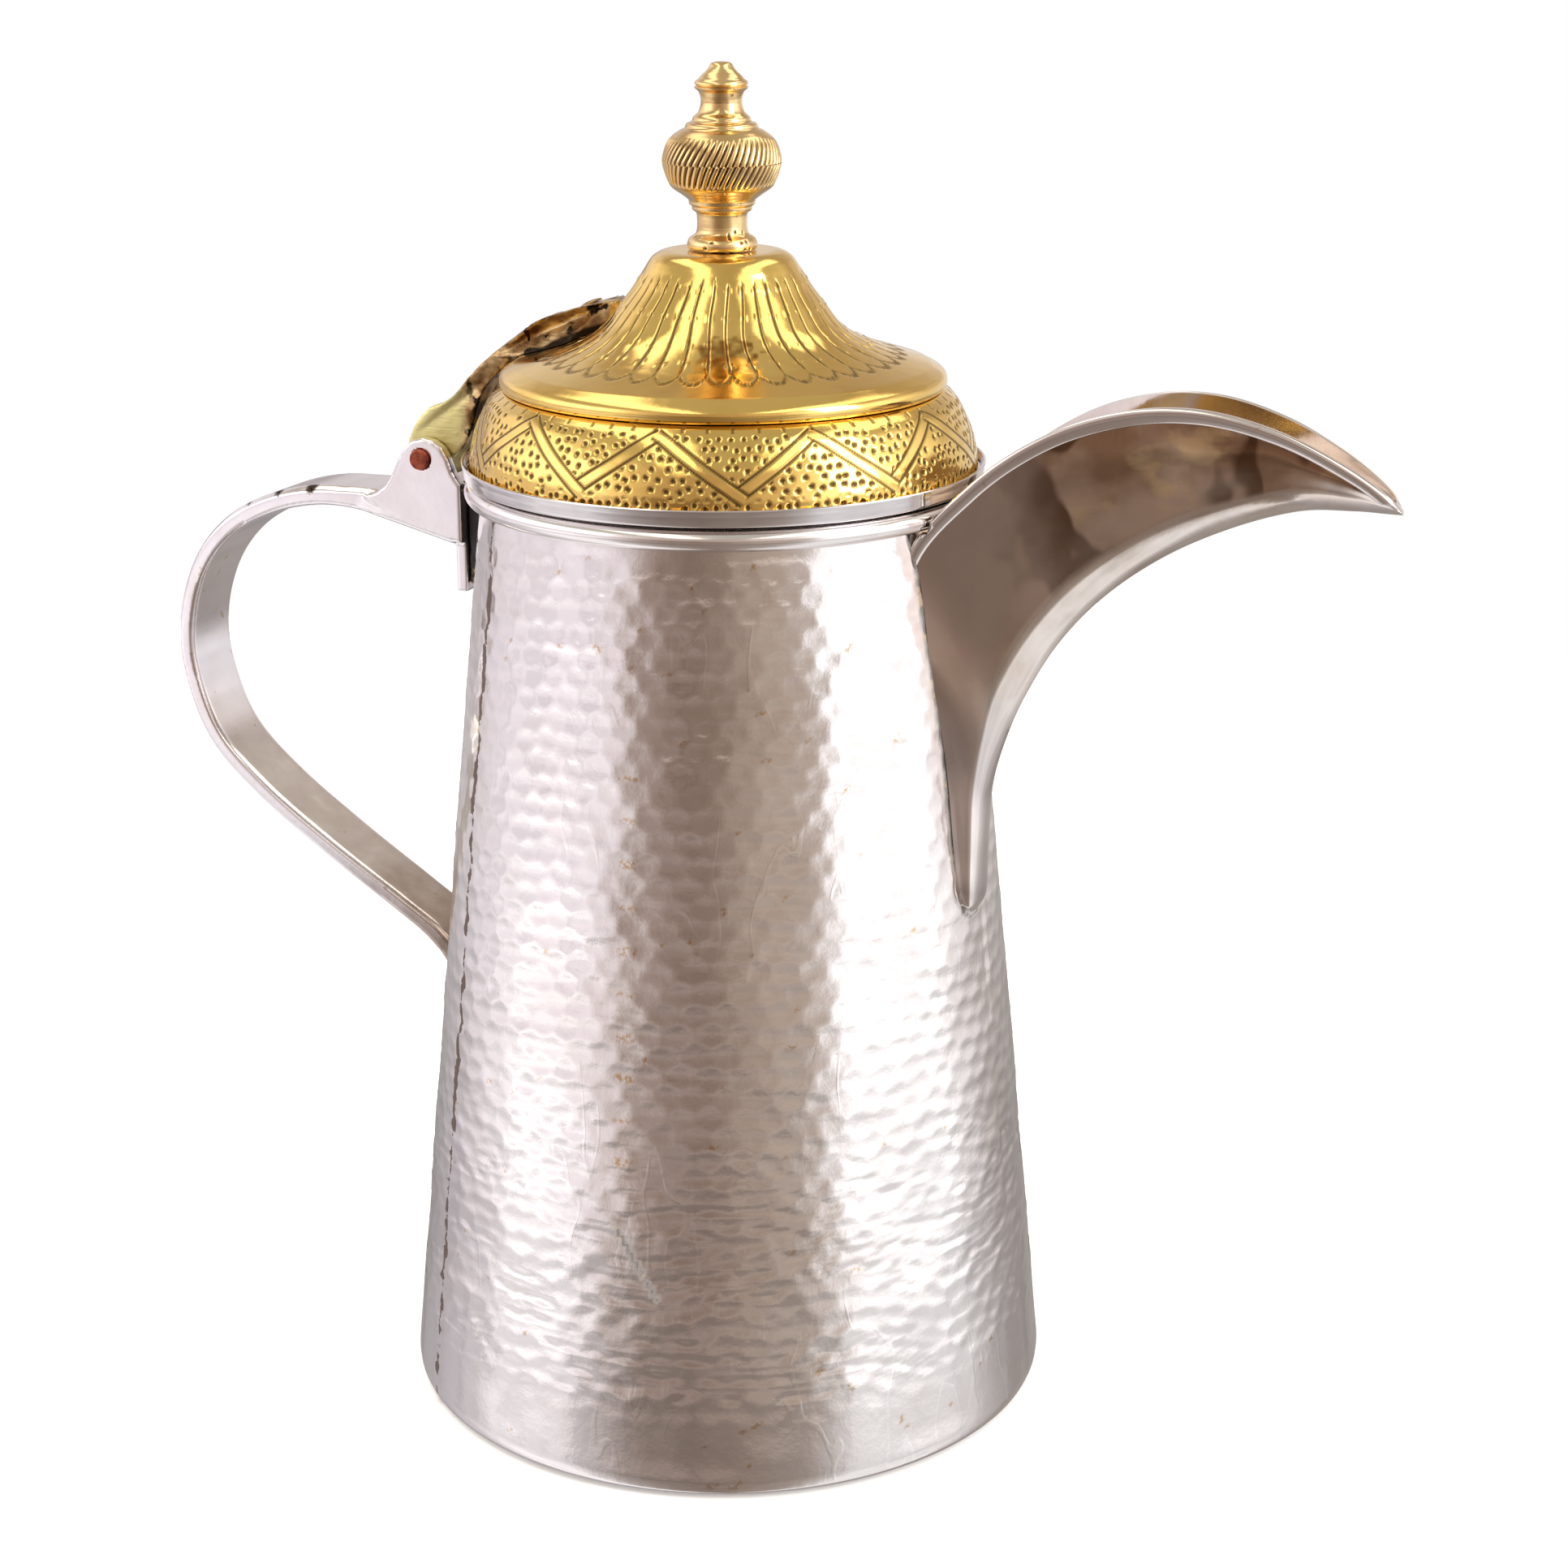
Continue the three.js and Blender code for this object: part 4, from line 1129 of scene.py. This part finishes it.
def cast_plate():
    """Plate over the handle's casting, darker brown towards the foot, with painted shade in the notches."""
    m = surface("cast_plate")
    x, y, z = m.axes(m.place)
    color = m.stain((0.87, 0.84, 0.86), m.patches(50, 5, 0.45, 0.75), 0.28, WARM_SILVER)
    color = m.stain(color, m.patches(320, 3, 0.66, 0.74), 0.45, (0.58, 0.38, 0.18))
    foot = m.plus(z, m.times(m.noise(120, 4), 0.02))
    color = m.mix(m.spread(foot, 0.102, 0.128, 0.75, 0), color, (0.30, 0.20, 0.13))
    edge = m.spread(m.size_of(y), 0.0062, 0.0070)
    side_view = m.add("ShaderNodeCombineXYZ", {0: x, 2: z}).outputs[0]
    # Painted shade in the notches across the upper edges.
    for notch_x, notch_z, lean in NOTCHES:
        middle = (notch_x * MM, 0, (notch_z - 0.6) * MM)
        gap = m.add("ShaderNodeVectorMath", {0: side_view, 1: middle}, operation="DISTANCE").outputs["Value"]
        color = m.mix(m.times(m.spread(gap, 0.0011, 0.0019, 1, 0), edge), color, (0.10, 0.07, 0.06))
    rough = m.patches(90, 4, 0.3, 0.75, 0.12, 0.24)
    return m.finish(color, rough, m.bump(m.noise(240, 3), 0.08, 0.0004))


def solder_brass():
    """Black as painted shade of the gap behind the flange, with some bare brass left, most of it at the
    lower end.
    """
    m = surface("solder_brass")
    low = m.spread(m.axes(m.place)["Z"], 0.184, 0.192, 0.22, 0.0)
    bare = m.spread(m.plus(m.noise(210, 5), low), 0.60, 0.70)
    # The near black is painted shade of the gap between the flange and the pot.
    color = m.mix(bare, (0.02, 0.014, 0.014), (0.66, 0.46, 0.18))
    bump = m.bump(m.noise(500, 4), 0.5, 0.0006)
    return m.finish(color, m.spread(bare, 0, 1, 0.5, 0.25), bump, metallic=m.spread(bare, 0, 1, 0.1, 1.0))


def copper():
    m = surface("copper_pin")
    color = m.mix(m.patches(420, 4, 0.4, 0.7), (0.44, 0.115, 0.07), (0.20, 0.05, 0.03))
    return m.finish(color, 0.42, m.bump(m.noise(800, 2), 0.3, 0.0003))


# ---- Putting the object together ----
def dress(piece, body, slot, material, *nodes):
    piece.data.materials.clear()
    piece.data.materials.append(material)
    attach(piece, body)
    if nodes:
        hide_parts(*nodes)


def paint_nodes(material, *names):
    for name in names:
        node = frame["nodes"][name]
        node.data.materials.clear()
        node.data.materials.append(material)


def build_pot():
    plate_metal = smooth_plate("silver_plate")
    dress(pot_body(), "pot", "hammered_plate", hammered_plate(), "body_shell")
    dress(rolled_rim(), "pot", "silver_plate", plate_metal, "rim_bead")
    dress(spout_shell(), "pot", "silver_plate", spout_plate(), "spout_shell")
    dress(spout_edge("spout_hem_left", 1), "pot", "silver_plate", plate_metal, "spout_edge_left")
    dress(spout_edge("spout_hem_right", -1), "pot", "silver_plate", plate_metal, "spout_edge_right")
    dress(handle(), "pot", "cast_plate", cast_plate(), "handle")
    dress(saddle(), "pot", "solder_brass", solder_brass(), "saddle_pad")
    dress(pin(), "pot", "copper_pin", copper(), "hinge_pin")
    paint_nodes(bpy.data.materials["hammered_plate"], "base_disc")


def build_lid():
    brass = lid_brass("lid_brass", BRASS, DARK_BRASS, (0.09, 0.19))
    pale_brass = lid_brass("finial_brass", (0.86, 0.62, 0.30), (0.50, 0.30, 0.11), (0.12, 0.24))
    aged = strap_brass()
    silver = bpy.data.materials["silver_plate"]
    dress(dome_band(), "lid", "lid_brass", brass, "lid_dome")
    dress(dome_flare(), "lid", "lid_brass", brass, "lid_dome")
    dress(lid_ring(), "lid", "silver_plate", silver, "lid_ring")
    dress(finial(), "lid", "lid_brass", pale_brass, "finial")
    dress(lid_strap(), "lid", "aged_brass", aged, "lid_strap")
    for number, place in enumerate(RIVETS, 1):
        dress(rivet(f"rivet_{number}", place), "lid", "aged_brass", aged, f"strap_rivet_{number}")
    dress(inner_collar(), "lid", "silver_plate", silver, "lid_collar")
    paint_nodes(aged, "finial_stud", "finial_washer", "finial_nut")


# ---- Studio ----
# Colours of the walls by direction, in degrees from +X towards +Y. The camera stands at -66.
SURROUND = [
    (-180, (0.82, 0.75, 0.80)), (-124, (0.88, 0.80, 0.85)), (-110, (0.66, 0.58, 0.57)),
    (-102, (0.37, 0.285, 0.25)), (-92, (0.27, 0.195, 0.16)), (-80, (0.235, 0.165, 0.132)),
    (-68, (0.26, 0.19, 0.15)), (-58, (0.37, 0.29, 0.235)), (-40, (0.44, 0.355, 0.295)),
    (-29, (0.50, 0.42, 0.37)), (-19, (1.25, 1.22, 1.24)), (28, (1.25, 1.22, 1.24)),
    (36, (0.92, 0.88, 0.88)), (60, (0.80, 0.78, 0.80)), (100, (0.86, 0.84, 0.86)),
    (110, (0.74, 0.71, 0.72)), (122, (0.44, 0.39, 0.39)), (145, (0.50, 0.44, 0.45)),
    (168, (0.74, 0.67, 0.71)), (180, (0.82, 0.75, 0.80)),
]
# The same round of directions well above and below the dark side.
SURROUND_FAR = [
    (-180, (1.06, 1.0, 1.04)), (-156, (1.75, 1.70, 1.70)), (-130, (1.65, 1.60, 1.60)),
    (-110, (0.66, 0.58, 0.55)), (-94, (0.46, 0.38, 0.34)), (-78, (0.40, 0.32, 0.28)),
    (-58, (0.46, 0.37, 0.32)), (-38, (0.60, 0.52, 0.47)), (-20, (1.3, 1.27, 1.27)),
    (26, (1.3, 1.27, 1.27)), (40, (0.85, 0.81, 0.80)), (62, (0.44, 0.375, 0.33)),
    (100, (0.45, 0.385, 0.34)), (120, (0.56, 0.52, 0.52)), (150, (0.74, 0.70, 0.72)),
    (180, (1.02, 0.96, 1.0)),
]
FAR_SHARE = [(-0.60, 0.8), (-0.27, 0.6), (-0.15, 0.1), (0.04, 0.0), (0.14, 0.8), (0.45, 1.0)]
# Brightness by the height of a direction: table, horizon and the walls above it.
LEVELS = [
    (-0.60, 0.75), (-0.38, 0.62), (-0.31, 0.80), (-0.25, 1.08), (-0.20, 1.04), (-0.13, 1.16),
    (-0.07, 1.0), (-0.01, 1.12), (0.05, 0.95), (0.11, 1.42), (0.18, 1.28), (0.26, 1.42), (0.34, 1.3),
    (0.45, 1.2),
]
# The ceiling across the camera's view, as sideways share of the height: two long softboxes.
CEILING = [
    (-1.5, 0.62), (-0.74, 0.56), (-0.62, 2.2), (-0.32, 2.2), (-0.22, 0.56), (0.42, 0.52), (0.52, 2.2),
    (0.86, 2.2), (0.98, 0.66), (1.5, 0.70),
]
CEILING_TINT = (1.0, 0.93, 0.82)
VIEW_RIGHT = (0.9217, 0.388, 0)
VIEW_AHEAD = (-0.388, 0.9217, 0)
FLOOR_RADIUS = 620
FLOOR_SIDES = 96
LENS = 67.7
CAMERA_PLACE = (0.2603, -0.5847, 0.3426)
CAMERA_AHEAD = (-0.3696, 0.8788, -0.3019)


def world():
    """A pale room: softboxes above, a window to the right and a warm dark side behind the camera."""
    bpy.context.scene.world = bpy.data.worlds.new("studio")
    sky = Nodes(bpy.context.scene.world, "Generated")
    x, y, z = sky.axes(sky.place)
    degrees = sky.times(sky.math("ARCTAN2", y, x), 180 / math.pi)
    walls = sky.ramp(degrees, -180, 180, SURROUND)
    far = sky.ramp(degrees, -180, 180, SURROUND_FAR)
    share = sky.ramp(z, FAR_SHARE[0][0], FAR_SHARE[-1][0], FAR_SHARE)
    walls = sky.mix(share, walls, far)
    # The ramps hold no more than 1, so the levels are halved here and doubled again below.
    levels = sky.ramp(z, LEVELS[0][0], LEVELS[-1][0], [(height, level / 2) for height, level in LEVELS])
    walls = sky.mix(1.0, walls, levels, "MULTIPLY")
    inputs = {"Scale": 7.0, "Detail": 3.0, "Distortion": 0.6, "Vector": sky.place}
    clutter = sky.add("ShaderNodeTexNoise", inputs).outputs["Fac"]
    spots = sky.ramp(clutter, 0.3, 0.7, [(0.3, 0.82), (0.47, 1.0), (0.7, 1.08)])
    walls = sky.mix(1.0, walls, spots, "MULTIPLY")
    walls = sky.mix(1.0, walls, walls, "ADD")
    up = sky.math("MAXIMUM", z, 0.05)
    reach = []
    for way in (VIEW_RIGHT, VIEW_AHEAD):
        along = sky.add("ShaderNodeVectorMath", {0: sky.place, 1: way}, operation="DOT_PRODUCT")
        reach.append(sky.math("DIVIDE", along.outputs["Value"], up))
    ceiling = sky.ramp(reach[0], CEILING[0][0], CEILING[-1][0], CEILING)
    end = sky.ramp(reach[1], 0, 2, [(0.75, 0.0), (1.0, 1.0)])
    ceiling = sky.mix(end, ceiling, (0.50, 0.45, 0.42))
    ceiling = sky.mix(1.0, ceiling, CEILING_TINT, "MULTIPLY")
    room = sky.mix(sky.spread(z, 0.40, 0.62), walls, ceiling)
    seen = sky.add("ShaderNodeLightPath").outputs["Is Camera Ray"]
    room = sky.mix(seen, room, (1, 1, 1))
    sky.fill(sky.tree.nodes["Background"], {"Color": room})


def area_light(name, place, target, size, power):
    light = bpy.data.lights.new(name, "AREA")
    light.shape = "RECTANGLE"
    light.size, light.size_y = size
    light.energy = power
    thing = in_scene(name, light)
    thing.location = place
    aim(thing, np.array(target) - np.array(place))
    return thing


def aim(thing, direction):
    thing.rotation_euler = Vector(direction).to_track_quat("-Z", "Y").to_euler()


def floor():
    """A pale round floor, a little under the pot's foot."""
    angle = np.arange(FLOOR_SIDES) * TURN / FLOOR_SIDES
    x = -60 + FLOOR_RADIUS * np.cos(angle)
    y = 120 + FLOOR_RADIUS * np.sin(angle)
    rim = np.stack([x, y, np.full(FLOOR_SIDES, -0.4)], axis=1)
    disc = mesh_object("floor", rim, [np.arange(FLOOR_SIDES)[None]])
    m = surface("pale_floor")
    inputs = {"Base Color": (0.93, 0.93, 0.93, 1), "Roughness": 0.7, "Metallic": 0.0}
    inputs |= {"Emission Color": (1, 1, 1, 1), "Emission Strength": 0.12}
    m.fill(m.tree.nodes["Principled BSDF"], inputs)
    disc.data.materials.append(m.owner)
    disc.visible_glossy = False


def camera():
    lens = bpy.data.cameras.new("camera")
    lens.lens = LENS
    lens.sensor_width = 36
    thing = in_scene("camera", lens)
    thing.location = CAMERA_PLACE
    aim(thing, CAMERA_AHEAD)
    bpy.context.scene.camera = thing


def studio():
    world()
    ceiling = area_light("ceiling", (-0.1, 0.1, 1.3), (0, 0, 0.1), (1.5, 1.2), 14)
    ceiling.visible_glossy = False
    area_light("window", (1.1, -0.1, 0.75), (0, 0, 0.15), (0.5, 0.9), 7)
    floor()
    camera()
    bpy.context.scene.view_settings.view_transform = "Standard"


build_pot()
build_lid()
studio()
